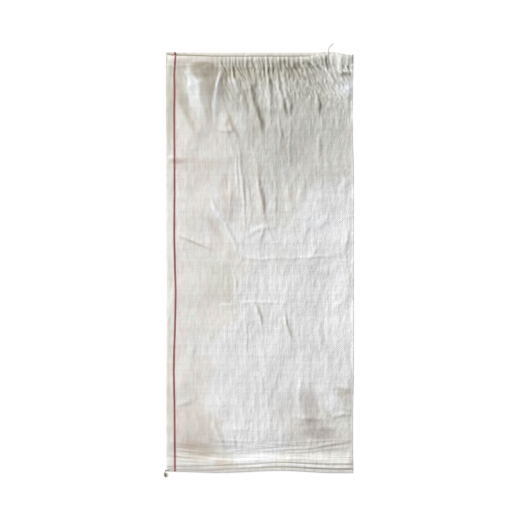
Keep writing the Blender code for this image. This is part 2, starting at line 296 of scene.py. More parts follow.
# Pleats of the gathered hem: pixel of the lit flank, height and the two flanks' widths in mm, how many pixels
# it goes on below the stitches, and its lean, in pixels to the right for each pixel down
STITCH_ROW = 66.0
PLEAT_TOP = 57.5
PLEATS = (
    (214.8, 0.8, 3.5, 3, 8, -0.15), (219, 1.1, 4.5, 3.5, 10, -0.25), (223, 1.1, 3.5, 3, 12, -0.15),
    (226.3, 1.1, 3, 2.8, 9, 0), (230.6, 1.9, 3.6, 3, 20, 0.05), (234, 1.5, 3.6, 3.4, 18, 0.62),
    (238, 1.2, 3.6, 3.4, 18, 0.55), (241.5, 1.3, 4, 3.4, 10, 0.35), (245.6, 1.5, 4.2, 3.6, 14, 0.3),
    (250, 1.7, 3.8, 4.4, 30, 0.22), (255.6, 1.5, 4.2, 4.2, 16, 0.3), (258.3, 1.2, 3, 3, 8, 0.2),
    (261.3, 2, 3.4, 3.4, 18, 0.05), (266, 2.4, 4.8, 4, 30, 0.06), (270.4, 2, 3.4, 4, 16, 0.04),
    (274.8, 1.4, 3.4, 4.2, 12, 0.25), (278.6, 1.9, 3.8, 4.2, 26, 0.22), (283, 1.3, 3.2, 3.2, 10, 0.2),
    (286.8, 2.1, 3.6, 4.4, 24, 0.28), (291.6, 1.9, 3.8, 4, 18, 0.25), (296.8, 1.7, 3.6, 4.6, 14, 0.35),
    (300.8, 1.6, 3.4, 4.4, 18, 0.4), (305.2, 1.2, 4, 4, 16, 0.6), (311.5, 1.8, 5, 5.5, 20, 0.75),
    (319.5, 1.4, 5, 4, 14, 0.8), (324, 2.2, 5, 4, 8, 0.1), (331, 0.8, 4, 4, 10, 0.5),
    (340.5, 2, 6.5, 5, 12, 0), (346.5, 1.3, 3.6, 3.4, 8, 0), (351.5, 1, 3.4, 3, 8, 0),
)

BODY_FOLDS = (
    # short creases above the middle
    ((240, 128, 0, 3, 3), (228, 131.5, 0.7, 5, 5), (216, 130.5, 0, 3, 3)),
    ((230, 126, 0, 4, 4), (235, 134, 0.9, 6, 6), (239, 143, 0, 5, 5)),
    # shaded crease at the left, beside the red tapes
    ((192, 158, 0, 6, 8), (180, 159, 0.6, 9, 9), (166, 159, 1.1, 9, 10)),
    ((171, 176, 0, 7, 5), (170, 192, 0.9, 9, 6), (171, 214, 0, 8, 6)),
    # long nearly vertical folds
    ((238, 138, 0, 4, 3), (241, 163, 1.1, 6, 3.5), (243, 198, 1.1, 6, 3.5), (244, 234, 0, 4, 3)),
    ((236, 140, 0, 4, 3), (236.5, 170, 0.8, 5, 3), (238, 206, 0, 4, 3)),
    ((256, 158, 0, 8, 6), (258.5, 182, 1.5, 13, 8), (262, 204, 1.5, 13, 8), (266, 228, 0, 10, 7)),
    ((270, 174, 0, 8, 4), (275, 200, 0.7, 14, 5), (277, 226, 0, 8, 5)),
    ((290, 112, 0, 3, 3), (290, 135, 0.7, 4, 3), (289.5, 155, 0.7, 4, 3), (289, 168, 0, 3, 3)),
    ((277, 114, 0, 3, 3), (280, 138, 0.6, 4, 4), (277.5, 160, 0, 3, 3)),
    ((323, 110, 0, 3, 3), (323, 120, 0.5, 4, 3), (323, 132, 0, 3, 3)),
    ((246, 176, 0, 4, 4), (249, 200, 0.9, 6, 6), (250, 226, 0, 6, 6)),
    ((230, 176, 0, 5, 5), (230, 200, 0.9, 8, 7), (229, 228, 0, 7, 7)),
    ((284, 172, 0, 8, 8), (288, 196, 1.1, 12, 11), (294, 218, 0, 10, 10)),
    ((276, 168, 0, 4, 4), (276, 190, 0.7, 6, 6), (277, 216, 0, 6, 6)),
    # bright crease that runs down to the right
    ((211, 196, 0, 4, 4), (215, 210, 1.3, 7, 5), (225, 224, 1.6, 8, 6), (233, 240, 1.4, 8, 6),
     (238, 250, 0, 6, 5)),
    # thin crease from the red tapes
    ((214, 251, 0, 3, 3), (200, 243.5, 1, 4.5, 3.5), (188, 239.5, 0.9, 4, 3.5), (178, 236.5, 0, 3, 3)),
    # crease with a small peak that fans out
    ((281, 225.5, 0, 4, 4), (268, 227, 1.1, 6, 8), (258, 230, 1, 6, 8), (246, 235, 0, 4, 5)),
    ((265, 228, 0.6, 5, 5), (261, 238, 0.8, 7, 6), (257, 249, 0, 6, 6)),
    ((267, 228, 0.6, 5, 5), (271, 238, 0.8, 6, 6), (276, 248, 0, 6, 6)),
    ((304, 224, 0, 5, 5), (308, 230, 0.8, 6, 6), (306, 238, 0, 6, 6)),
    ((312, 244, 0, 4, 5), (316, 250, 1, 7, 6), (314, 257, 0, 5, 5)),
    # long crossways crease of the once folded sack
    ((346, 257, 0, 5, 4), (320, 257.5, 0.4, 5, 4), (290, 258.2, 0.5, 5, 4), (258, 258.7, 0.5, 5, 4),
     (234, 258.5, 0, 5, 6)),
    # right side
    ((353, 178, 0.7, 6, 5), (345, 184, 0.8, 8, 7), (338, 196, 0, 8, 8)),
    ((354, 208, 0.6, 4, 4), (344, 209.5, 0, 4, 4)),
    ((306, 180, 0, 10, 8), (300, 196, 1.1, 14, 14), (296, 214, 0, 12, 12)),
    ((330, 214, 0, 10, 12), (322, 224, 0.9, 14, 12), (308, 230, 0, 10, 10)),
    ((347, 226, 0, 7, 7), (346, 240, 1, 9, 7), (343, 252, 0, 7, 7)),
    ((338, 268, 0, 7, 10), (326, 272, 0.9, 11, 12), (312, 270, 0, 8, 10)),
    ((354, 279, 0.7, 4, 5), (345, 281, 0, 4, 4)),
    ((354, 293, 0.7, 4, 5), (343, 296, 0, 4, 4)),
    ((346, 300, 0, 6, 6), (336, 306, 0.8, 10, 10), (322, 318, 0, 10, 12)),
    # lower body
    ((236, 305, 0, 3, 3), (225, 306, 0.7, 5, 4), (213, 307, 0, 3, 3)),
    ((292, 302.2, 0, 3, 3), (276, 302.8, 0.5, 4, 4), (252, 302.2, 0.5, 4, 4), (237, 302.4, 0, 3, 3)),
    ((253, 302, 0, 5, 3.5), (257, 312, 1.4, 7, 4), (260.5, 322, 1.3, 7, 4), (262, 334, 0, 6, 4)),
    ((284, 308, 0, 5, 3.5), (286.5, 320, 1.5, 8, 4), (289.5, 331, 1.3, 8, 4), (291, 340, 0, 6, 4)),
    ((245, 306, 0, 3, 3), (246, 330, 0.7, 4, 3.5), (246, 356, 0, 3, 3)),
    ((232, 264, 0, 5, 3), (236, 282, 0.8, 6, 3.5), (237, 300, 0, 5, 3)),
    ((226, 306, 0, 8, 8), (234, 318, 0.9, 12, 12), (244, 330, 0, 10, 12)),
    ((316, 316, 0, 8, 8), (318, 332, 0.9, 12, 10), (324, 350, 0, 10, 10)),
    ((186, 330, 0, 10, 10), (192, 350, 0.9, 14, 16), (190, 372, 0, 12, 12)),
    ((240, 344, 0, 8, 9), (248, 356, 0.8, 12, 12), (256, 372, 0, 10, 10)),
    ((260, 372, 0, 6, 5), (262, 384, 0.9, 8, 5), (262, 396, 0, 7, 5)),
    ((304, 368, 0, 8, 8), (300, 388, 1, 12, 12), (296, 408, 0, 10, 10)),
    ((214, 392, 0, 6, 6), (220, 404, 0.9, 9, 9), (228, 414, 0, 8, 8)),
    # creases at the lower left and along the lower right
    ((198, 399, 0, 4, 4), (186, 401.5, 1.1, 6, 5), (176, 405, 0.3, 5, 4)),
    ((352, 389.5, 0.8, 6, 4), (340, 387.2, 1.2, 7, 4), (326, 386, 0, 4, 4)),
    ((353, 412, 0.8, 5, 4), (345, 409.5, 0.9, 5, 4), (337, 406, 0, 4, 4)),
    ((356, 404, 0.4, 6, 6), (346, 400, 1.2, 9, 6), (336, 392, 0, 7, 5)),
    ((355, 414.5, 0.9, 5, 4), (340, 416.5, 1.1, 6, 4), (331, 417.5, 0, 4, 4)),
    ((324, 419, 0, 4, 4), (318, 418.2, 0.8, 5, 4), (303, 416.8, 0.8, 5, 4), (287, 416.5, 0, 4, 4)),
    ((335, 428, 0.5, 5, 4), (320, 427.5, 0.7, 5, 4), (304, 426.5, 0, 4, 4)),
    ((337, 442, 0.8, 5, 4), (320, 445, 0.8, 5, 4), (296, 446.5, 0, 4, 4)),
    ((213, 421, 0, 5, 5), (217, 432, 1.5, 8, 9), (222, 444, 1.6, 9, 9), (227, 456, 0, 7, 7)),
    ((262, 424, 0, 4, 4), (240, 428.5, 0.8, 6, 7), (222, 428, 0, 4, 4)),
    ((257, 428, 0, 5, 5), (259, 440, 0.9, 7, 6), (262, 452, 0, 6, 6)),
    ((232, 430, 0, 5, 5), (234, 442, 1, 7, 6), (238, 454, 0, 6, 6)),
    ((280, 424, 0, 6, 6), (282, 436, 0.9, 8, 7), (280, 448, 0, 7, 7)),
)

# Folds across the sack, just above the seam
SEAM_FOLDS = (
    ((354, 440, 0.5, 5, 4), (336, 444, 1.2, 7, 3.5), (304, 449.5, 1.1, 6, 3.5), (268, 449, 0, 4, 3)),
    ((222, 457, 0, 3, 3), (200, 453.5, 0.8, 4, 3), (176, 450, 0.5, 3, 3)),
    ((232, 461, 0, 3, 3), (204, 458, 0.8, 4, 3), (176, 455, 0.6, 3, 3)),
    ((354, 446, 0.6, 4, 3), (330, 449, 0.9, 5, 3), (300, 452.5, 0.8, 5, 3), (262, 453.5, 0, 3, 3)),
    ((354, 456.5, 0.8, 5, 3), (326, 457.5, 0.8, 5, 3), (288, 459, 0.5, 4, 3), (250, 459.5, 0, 3, 3)),
    ((300, 446, 0, 4, 3), (270, 447, 0.8, 5, 3), (236, 450.5, 0.6, 4, 3), (222, 455, 0, 3, 3)),
    ((230, 463, 0, 3, 3), (212, 463, 0.7, 4, 3), (196, 461, 0.4, 3, 3), (176, 460, 0.3, 3, 3)),
)

# The seed of all chance, what the heights of the folds above are multiplied by, and how round the foot of a
# fold is: at 1 it isn't
SEED = 7
TOP_STRENGTH = 1.75
BODY_STRENGTH = 2.0
SHARP = 1.08
CRISP = 1.10
SOFT = 1.15

# How far folds and patches wander from their course, for each length of wave
WANDER = ((0.034, 0.0024), (0.013, 0.0013))
FUZZ_GRID = 61

# Short broken creases of the gathers below the hem: their number, range of pixels across and down, and their
# lean, in pixels to the right for each pixel down, at some pixels across
GATHER_CREASES = 330
GATHERS_ACROSS = (222, 352)
GATHERS_DOWN = (67, 132)
GATHER_LEAN = ((222, 0.40), (262, 0.16), (285, 0.22), (318, 0.62), (352, 0.85))
GATHER_HEIGHT = (0.0005, 0.0015)
GATHER_WIDTH = (0.0019, 0.0040)
GATHER_LENGTH = (0.012, 0.042)
RISING_SHARE = 0.6

# Thin wrinkles across the sack above the bottom seam: number, pixels, slope at some places, and sizes
SEAM_WRINKLES = 60
WRINKLES_ACROSS = (176, 350)
WRINKLES_DOWN = (440, 461)
WRINKLE_SLOPE = ((-0.200, -0.11), (-0.080, -0.06), (0.020, 0.01), (0.200, 0.06))
WRINKLE_HEIGHT = (0.0003, 0.0009)
WRINKLE_WIDTH = (0.0016, 0.0032)
WRINKLE_LENGTH = (0.040, 0.150)

# Random small creases that fill the panel: number, range of places and sizes, and the mean and the spread in
# degrees of the way that they run
CREASES = 260
CREASES_ACROSS = (-0.190, 0.190)
CREASES_ALONG = (-0.405, 0.385)
CREASE_LENGTH = (0.014, 0.060)
CREASE_HEIGHT = (0.0002, 0.00065)
CREASE_WIDTH = (0.0028, 0.0075)
LENGTHWAYS = (-84, 13)
LENGTHWAYS_SHARE = 0.68
CROSSWAYS = (176, 12)

# The white facet stays free of small creases: centre and reach across and down in pixels, and turn in degrees
SMOOTH_FACET = (192.5, 86, 9, 22, -14)

# Crumple between the creases: width, length and slope of its facets, and after how many of them it repeats
CRUMPLES = ((0.017, 0.060, 0.045), (0.0090, 0.026, 0.045))
CONE_GRID = (97, 89)

# Broad swells of slack cloth
SWELLS = 14
SWELL_LENGTH = (0.050, 0.140)
SWELL_SLOPE = 0.0022

# Patches where the cloth looks lighter, darker or of another hue, most of them painted light and shade of
# its folds and the rest its own tone: centre, and reach across and down, in pixels, turn in degrees, how
# crisp the edge is, and the share of display red, green and blue that is left
PATCHES = (
    # painted shade: greyer below the gathers, towards the middle and the right
    (282, 98, 66, 44, 0, 1.8, 0.92, 0.92, 0.91), (270, 152, 44, 26, 0, 1.8, 0.95, 0.952, 0.945),
    (318, 142, 36, 38, 0, 2.2, 0.945, 0.948, 0.94), (256, 73, 56, 9, 0, 1.6, 0.92, 0.91, 0.88),
    (276, 60.5, 50, 4.5, 0, 1.8, 0.905, 0.897, 0.875), (240, 71, 16, 9, 0, 1.6, 0.91, 0.902, 0.875),
    (294, 73, 13, 8, 0, 1.6, 0.93, 0.92, 0.895), (250, 108, 12, 32, -10, 2, 0.955, 0.95, 0.935),
    (272, 172, 32, 44, 0, 2, 0.958, 0.958, 0.952),
    # cream hem at the left, its pinkish strip a painted highlight, and painted shade along its stitches
    (198, 60.5, 32, 5, 0, 2, 0.945, 0.935, 0.905), (203, 61, 11, 1.6, 0, 1.6, 1.06, 1.045, 1.06),
    (202, 65, 24, 2, 0, 2, 0.955, 0.945, 0.92), (179.4, 84, 4.4, 20, 0, 2.4, 0.92, 0.905, 0.878),
    (184, 104, 5.2, 14, -16, 2.6, 0.905, 0.89, 0.85), (190, 121, 3, 12, -24, 2, 0.925, 0.905, 0.88),
    (203, 112, 9, 13, 0, 1.6, 0.955, 0.95, 0.935),
    # painted shade: brownish slopes beside the facets
    (203, 70.5, 15.5, 8.5, 0, 3.2, 0.8, 0.785, 0.742), (208, 85, 9, 11, 0, 2, 0.88, 0.865, 0.825),
    (224, 84, 4.5, 19, 0, 1.6, 0.88, 0.865, 0.82), (210.5, 106, 1.6, 16, 0, 1.6, 0.9, 0.89, 0.86),
    (252.5, 96, 2, 22, -16, 1.6, 0.9, 0.89, 0.86), (259.5, 119, 2, 13, -14, 1.6, 0.8, 0.785, 0.74),
    (232.5, 126, 2.2, 16, -22, 1.6, 0.89, 0.87, 0.83), (224, 131.2, 9, 1.2, 0, 1.6, 0.9, 0.885, 0.85),
    (320, 179, 34, 10, 0, 2, 0.965, 0.965, 0.96), (180, 69.5, 13, 5, 0, 2, 0.955, 0.945, 0.925),
    # painted highlights of white facets, with painted shade beside some
    (191, 82, 6.3, 17, -13, 3.2, 0.945, 0.952, 0.952), (186.6, 79, 3.2, 14, 0, 3.2, 1.085, 1.09, 1.085),
    (196.5, 104, 4.6, 17, -20, 2.6, 1.03, 1.038, 1.038), (217.5, 92, 2, 24, 7, 1.6, 0.985, 0.995, 1),
    (232.5, 78, 1.6, 10, -6, 1.6, 1.1, 1.11, 1.12), (269.3, 73, 1.4, 7, 0, 1.6, 1.09, 1.1, 1.11),
    (264.6, 80, 1.4, 14, 0, 1.6, 1.06, 1.07, 1.08), (277, 92, 1.6, 16, -11, 1.6, 1.05, 1.06, 1.07),
    (242, 122, 5, 10, 0, 2, 1.04, 1.05, 1.07), (346, 85, 7, 6, 0, 1.8, 1.03, 1.035, 1.045),
    (312, 92, 24, 18, 0, 1.8, 0.975, 0.97, 0.958), (340, 64, 3.2, 8, 0, 1.8, 1.05, 1.055, 1.06),
    (219, 214, 2.6, 12, -36, 1.8, 1.02, 1.025, 1.03),
    # painted shade in the deep folds between the pleats
    (262.8, 67.5, 1.4, 3.5, 0, 1.2, 0.74, 0.73, 0.69), (268.6, 69, 1.2, 4, 0, 1.2, 0.74, 0.73, 0.69),
    (274.5, 65.5, 1.6, 3.5, -20, 1.2, 0.74, 0.73, 0.68), (280.4, 67, 1.4, 4, 0, 1.2, 0.74, 0.73, 0.68),
    (284.6, 63, 1.4, 4, 0, 1.2, 0.74, 0.73, 0.68), (289.2, 67.5, 1.4, 4, 0, 1.2, 0.74, 0.73, 0.68),
    (296.5, 66.5, 4.5, 3, -15, 1.4, 0.73, 0.72, 0.67), (308, 65, 6, 3, 35, 1.2, 0.82, 0.81, 0.77),
    (326, 63, 2.2, 6, 0, 1.6, 0.72, 0.7, 0.65), (345.5, 75.3, 8, 1.8, 0, 1.6, 0.88, 0.87, 0.83),
    (285, 108, 1.4, 7, -12, 1.4, 0.76, 0.75, 0.7), (290.5, 104, 1.3, 10, -6, 1.4, 0.8, 0.79, 0.75),
    (319.8, 106, 1.4, 8, -3, 1.4, 0.74, 0.725, 0.68), (282, 134, 1.4, 5, -8, 1.4, 0.88, 0.865, 0.845),
    (320.2, 146, 1.6, 10, 0, 1.6, 0.9, 0.89, 0.875),
    # painted shade: the shaded band beside the red tapes, pinkish strips and the shaded long fold
    (194, 165, 27, 8, 0, 2.4, 0.957, 0.942, 0.93), (179, 160, 8, 4, 0, 1.8, 0.925, 0.91, 0.895),
    (225.5, 196, 3.5, 26, -6, 1.8, 0.962, 0.945, 0.935), (263, 200, 2.4, 26, -9, 2, 0.905, 0.875, 0.85),
    (215, 230, 4, 18, -32, 1.8, 0.952, 0.936, 0.925), (193.5, 243, 18, 1.4, 22, 1.6, 0.93, 0.915, 0.895),
    # lighter and darker regions, in part painted light and shade, and painted light on the pale side creases
    (169, 102, 6, 44, 0, 2, 0.93, 0.915, 0.87), (332, 224, 24, 28, 0, 1.6, 1.035, 1.035, 1.04),
    (342, 312, 15, 50, 0, 2, 1.05, 1.05, 1.05), (172, 225, 6, 75, 0, 2, 1.025, 1.025, 1.025),
    (252, 442, 20, 13, 0, 1.8, 1.06, 1.06, 1.06), (270, 464, 104, 5.5, 0, 3, 1.04, 1.04, 1.045),
    (272, 380, 11, 19, 0, 2, 0.972, 0.97, 0.968), (315, 222, 13, 17, 0, 2, 1.022, 1.022, 1.026),
    (234, 190, 16, 42, 0, 2, 0.976, 0.972, 0.968), (286, 260, 12, 18, 0, 2, 0.966, 0.964, 0.96),
    (195, 128, 18, 14, 0, 2, 0.972, 0.968, 0.964), (237, 95, 13, 17, 0, 2, 0.945, 0.945, 0.94),
    (342, 92, 13, 9, 0, 2, 1.05, 1.055, 1.065), (224, 464, 11, 5, 0, 1.6, 0.955, 0.94, 0.91),
    (353.5, 266, 2.4, 216, 0, 3, 1.11, 1.11, 1.11), (353.5, 92, 2, 46, 0, 3, 1.22, 1.22, 1.22),
    (221, 283, 15, 20, 0, 3, 0.958, 0.96, 0.938), (259.5, 313, 1.8, 10, -22, 1.8, 0.9, 0.895, 0.86),
    (288.5, 326, 1.8, 12, -12, 1.8, 0.9, 0.895, 0.86),
    # painted shade and a little painted light in places along the bottom
    (309.5, 405, 9.5, 18, -10, 2.6, 0.885, 0.866, 0.856), (311, 421, 12, 5, 0, 2.6, 0.905, 0.888, 0.878),
    (319, 431.5, 15.5, 7.5, 0, 3.2, 0.885, 0.868, 0.856), (289, 415, 13, 17, 0, 1.8, 0.935, 0.928, 0.92),
    (343, 412, 11, 14, 0, 2, 0.945, 0.945, 0.94), (332, 402, 6, 15, -30, 1.8, 1.045, 1.045, 1.05),
    (344, 393.5, 7.5, 5, 0, 2.2, 0.915, 0.91, 0.885), (332, 442, 24, 7, -8, 1.4, 0.94, 0.928, 0.915),
    (192, 431, 21, 28, -24, 2.6, 0.958, 0.935, 0.922), (198, 448, 19, 7, 10, 2, 0.945, 0.925, 0.895),
    (200, 456, 28, 4, 0, 1.6, 0.975, 0.965, 0.94), (166, 385, 3.5, 34, 0, 1.2, 0.97, 0.935, 0.89),
)

# Where painted sheen makes the cloth bluish white, and cream elsewhere: centre, reach across and down, turn,
# and how white. Below 0.5 only streaks of it are white.
SHEEN_ZONES = (
    (338, 226, 44, 50, 0, 1), (280, 246, 50, 20, 8, 1), (296, 302, 62, 46, 0, 1), (292, 352, 84, 42, 0, 1),
    (262, 396, 60, 34, 0, 1), (256, 432, 34, 34, 0, 1), (350, 88, 10, 8, 0, 0.9),
    (219, 214, 3.5, 14, -36, 0.6), (235, 234, 8, 14, -25, 1), (268, 202, 6, 28, -8, 0.6),
    (240, 184, 4, 42, -3, 0.56), (250, 190, 5, 14, -15, 0.54), (333, 402, 9, 16, -28, 0.9),
    (262, 186, 42, 56, -6, 0.42), (181, 212, 6, 44, 0, 0.44), (212, 196, 5, 14, -20, 0.52),
    (206, 224, 5, 16, 0, 0.46), (200, 345, 16, 10, 25, 0.52), (242, 124, 10, 14, -10, 0.46),
    (190, 82, 7, 18, -12, 0.56), (197, 106, 5, 18, -20, 0.56), (217, 96, 3, 26, 7, 0.5),
)
EDGE_BLUR = 11.0


def smooth(t):
    """0 below 0, 1 above 1, and a soft step between."""
    t = np.clip(t, 0.0, 1.0)
    return t * t * (3 - 2 * t)


def along(points, at):
    """The values at some places, read smoothly between (place, value) pairs."""
    places, values = np.array(points, float).T
    i = np.clip(np.searchsorted(places, at, side="right") - 1, 0, len(places) - 2)
    return values[i] + (values[i + 1] - values[i]) * smooth((at - places[i]) / (places[i + 1] - places[i]))


def add_fold(height, x, y, stations, power):
    """Adds one fold to the heights at some points. A station is x, y, height and the two flanks' widths."""
    rows = np.array(stations, float)
    reach = rows[:, 3:].max()
    low, high = rows[:, :2].min(0) - reach, rows[:, :2].max(0) + reach
    near = np.flatnonzero((x > low[0]) & (x < high[0]) & (y > low[1]) & (y < high[1]))
    px, py = x[near], y[near]
    closest, added = np.full(len(near), np.inf), np.zeros(len(near))
    for a, b in zip(rows, rows[1:]):
        along_x, along_y = b[0] - a[0], b[1] - a[1]
        t = np.clip(((px - a[0]) * along_x + (py - a[1]) * along_y) / (along_x**2 + along_y**2), 0, 1)
        off_x, off_y = px - a[0] - t * along_x, py - a[1] - t * along_y
        away = np.hypot(off_x, off_y)
        second = along_x * off_y - along_y * off_x > 0
        width = np.where(second, a[4] + (b[4] - a[4]) * t, a[3] + (b[3] - a[3]) * t)
        share = np.clip(1 - away / width, 0, 1) ** power
        nearer = away < closest
        closest = np.where(nearer, away, closest)
        added = np.where(nearer, (a[2] + (b[2] - a[2]) * t) * share, added)
    height[near] += added


def from_photo(stations, strength=1.0):
    """A fold's stations in metres."""
    return [(*seen(px, py), strength * h / 1000, a / 1000, b / 1000) for px, py, h, a, b in stations]


def pleat_folds():
    """The pleats that the tight hem thread makes: each runs down through the hem and fades out below it."""
    folds = []
    for px, height, lit, shaded, down, lean in PLEATS:
        crest = px + 0.45 * lit / 1000 / PHOTO_PIXEL
        stations = (
            (crest - lean * 1.5, PLEAT_TOP, 0.45 * height),
            (crest, STITCH_ROW, height),
            (crest + lean * 0.45 * down, STITCH_ROW + 0.45 * down, 0.85 * height),
            (crest + lean * down, STITCH_ROW + down, 0.0),
        )
        folds.append(from_photo([(x, y, h, lit, shaded) for x, y, h in stations]))
    return folds


def up_or_down(dice, heights):
    """A random height. Most creases rise, and the others sink."""
    return dice.uniform(*heights) * (1 if dice.random() < RISING_SHARE else -1)


def crease(middle, half, bend, height, widths):
    """A short crease: its middle, the way from there to an end, and how far the middle is bent aside."""
    (x, y), (dx, dy), (bend_x, bend_y) = middle, half, bend
    ends = [(x + side * dx, y + side * dy, 0, *widths) for side in (-1, 1)]
    return ends[0], (x + bend_x, y + bend_y, height, *widths), ends[1]


def gather_creases():
    """Random short creases among the gathers, which fan out below the hem."""
    dice = np.random.default_rng(SEED + 4)
    top, bottom = GATHERS_DOWN
    folds = []
    for _ in range(GATHER_CREASES):
        px, py = dice.uniform(*GATHERS_ACROSS), dice.triangular(top, top, bottom)
        lean = float(along(GATHER_LEAN, px)) + dice.normal(0, 0.12)
        length = dice.uniform(*GATHER_LENGTH)
        height = up_or_down(dice, GATHER_HEIGHT) * (1 - 0.35 * (py - top) / (bottom - top))
        widths = dice.uniform(*GATHER_WIDTH, 2)
        half = 0.5 * length / math.hypot(1, lean)
        bend = dice.normal(0, 0.05) * length
        folds.append(crease(seen(px, py), (lean * half, -half), (bend, 0), height, widths))
    return folds


def seam_wrinkles():
    """Random thin wrinkles that run across the sack where the seam holds it."""
    dice = np.random.default_rng(SEED + 5)
    folds = []
    for _ in range(SEAM_WRINKLES):
        x, y = seen(dice.uniform(*WRINKLES_ACROSS), dice.uniform(*WRINKLES_DOWN))
        half = 0.5 * dice.uniform(*WRINKLE_LENGTH)
        rise = (float(along(WRINKLE_SLOPE, x)) + dice.normal(0, 0.025)) * half
        height = dice.uniform(*WRINKLE_HEIGHT)
        widths = dice.uniform(*WRINKLE_WIDTH, 2)
        bend = dice.normal(0, 0.02) * half
        folds.append(crease((x, y), (-half, -rise), (0, bend), height, widths))
    return folds


def small_creases():
    """Random small creases of the body, most of them lengthways."""
    dice = np.random.default_rng(SEED + 1)
    folds = []
    for _ in range(CREASES):
        x, y = dice.uniform(*CREASES_ACROSS), dice.uniform(*CREASES_ALONG)
        way = LENGTHWAYS if dice.random() < LENGTHWAYS_SHARE else CROSSWAYS
        angle = math.radians(dice.normal(*way))
        length = dice.uniform(*CREASE_LENGTH)
        height = up_or_down(dice, CREASE_HEIGHT)
        widths = dice.uniform(*CREASE_WIDTH, 2)
        half = (0.5 * length * math.cos(angle), 0.5 * length * math.sin(angle))
        bend = dice.normal(0, 0.08) * length
        folds.append(crease((x, y), half, (bend, 0), height, widths))
    return folds


def fuzz(x, y, size, seed):
    """Smooth random values between -1 and 1 that change over a given length."""
    values = np.random.default_rng(seed).uniform(-1, 1, (FUZZ_GRID, FUZZ_GRID))
    column, row = np.floor(x / size).astype(int), np.floor(y / size).astype(int)
    right, up = smooth(x / size - column), smooth(y / size - row)

    def corner(i, j):
        return values[(column + i) % FUZZ_GRID, (row + j) % FUZZ_GRID]

    low = corner(0, 0) * (1 - right) + corner(1, 0) * right
    high = corner(0, 1) * (1 - right) + corner(1, 1) * right
    return low * (1 - up) + high * up


def wandering(x, y):
    """Points moved a little to and fro, so that no fold and no patch keeps a straight edge."""
    moved_x, moved_y = x.copy(), y.copy()
    for k, (size, reach) in enumerate(WANDER):
        moved_x += reach * fuzz(x, y, size, SEED + 10 + k)
        moved_y += reach * fuzz(x, y, size, SEED + 20 + k)
    return moved_x, moved_y


def cones(x, y, wide, tall, steep):
    """Crumple of one size: shallow cones round scattered points, which meet in sharp creases."""
    spots = np.random.default_rng(SEED + 3).random((*CONE_GRID, 2))
    across = x / wide + 0.4 * np.sin(2 * math.pi * y / (3.1 * tall))
    down = y / tall + 0.3 * np.sin(2 * math.pi * x / (4.3 * wide))
    column, row = np.floor(across).astype(int), np.floor(down).astype(int)
    nearest = np.full(x.shape, np.inf)
    for i in (-1, 0, 1):
        for j in (-1, 0, 1):
            spot = spots[(column + i) % CONE_GRID[0], (row + j) % CONE_GRID[1]]
            away = np.hypot(column + i + spot[..., 0] - across, row + j + spot[..., 1] - down)
            nearest = np.minimum(nearest, away)
    return steep * wide * nearest


def crumpled(x, y):
    """How much the cloth is crumpled at some points: least along the left side, most below the mouth."""
    across = smooth((x + 0.10) / 0.09)
    gathers = across * smooth((y - 0.26) / 0.10) * smooth((MOUTH_Y - 0.010 - y) / 0.01)
    return 0.60 + 0.40 * across + 0.9 * gathers


def undulation(x, y):
    """Broad uneven swells of slack cloth."""
    dice = np.random.default_rng(SEED + 2)
    total = np.zeros_like(x)
    for _ in range(SWELLS):
        length = dice.uniform(*SWELL_LENGTH)
        angle = dice.uniform(0, math.pi)
        phase = dice.uniform(0, 2 * math.pi)
        across = x * math.cos(angle) + y * math.sin(angle)
        total += SWELL_SLOPE * length * np.sin(2 * math.pi * across / length + phase)
    return total


def back_height(y):
    """Middle of the back panel's cloth, which lies on the floor, its own stitches and the bottom flap."""
    over_flap = smooth((BOTTOM_Y + BOTTOM_FLAP + 1.2 * FLAP_STEP - y) / FLAP_STEP)
    over_thread = np.exp(-(((y - HEM_ROW_Y) / STITCH_GROOVE) ** 2))
    return CLOTH / 2 + 2 * LAYER_STEP * over_flap + (THREAD + 1.5 * CLEARANCE) * over_thread


def side_gap(y):
    """Distance between the two panels at the side creases: wider where the hem is tucked in."""
    return LAYER_STEP * (1 + 2 * smooth((y - (MOUTH_Y - 5 * HEM_DEPTH)) / (3.6 * HEM_DEPTH)))


def hem_height(y):
    """The rolled hem: it swells below the rim, sinks to its stitches, and leaves the cloth low below them."""
    roll = HEM_BULGE * np.sin(math.pi * np.clip((MOUTH_Y - y) / HEM_STITCH_DEPTH, 0, 1) ** 0.85)
    sag = HEM_SAG * smooth((y - (MOUTH_Y - 3.2 * HEM_STITCH_DEPTH)) / (2.1 * HEM_STITCH_DEPTH))
    return roll - sag - HEM_GROOVE * np.exp(-(((y - HEM_ROW_Y) / HEM_GROOVE_WIDTH) ** 2))


def along_rows(above, lower, upper):
    """The swell from the folded edge over the lower row, with its groove, to the groove of the upper row."""
    past = above - lower
    rise = 0.28 * smooth(above / lower) + 0.72 * smooth(past / 0.0016)
    groove = 0.16 * np.exp(-((past / 0.0008) ** 2))
    fall = 0.55 * np.clip((past - 0.0014) / np.maximum(upper - lower - 0.0014, 0.001), 0, 1)
    return rise - groove - fall


def seam_height(x, y):
    """Swells beside the two rows of bottom stitches. They only rise, because the layers lie tight there."""
    above = y - BOTTOM_Y
    lower, upper = along(LOWER_ROW, x), along(UPPER_ROW, x)
    out = (above - upper) / SEAM_REACH
    rise, fall = 0.45 + 0.95 * smooth(out / 0.08), 1.4 * np.clip((1 - out) / 0.92, 0, 1) ** 1.15
    beyond = np.where(out < 0.08, rise, fall)
    profile = np.where(above < upper, along_rows(above, lower, upper), beyond)
    return along(SEAM_SWELL, x) * profile * smooth((HALF_WIDTH - np.abs(x)) / 0.010)


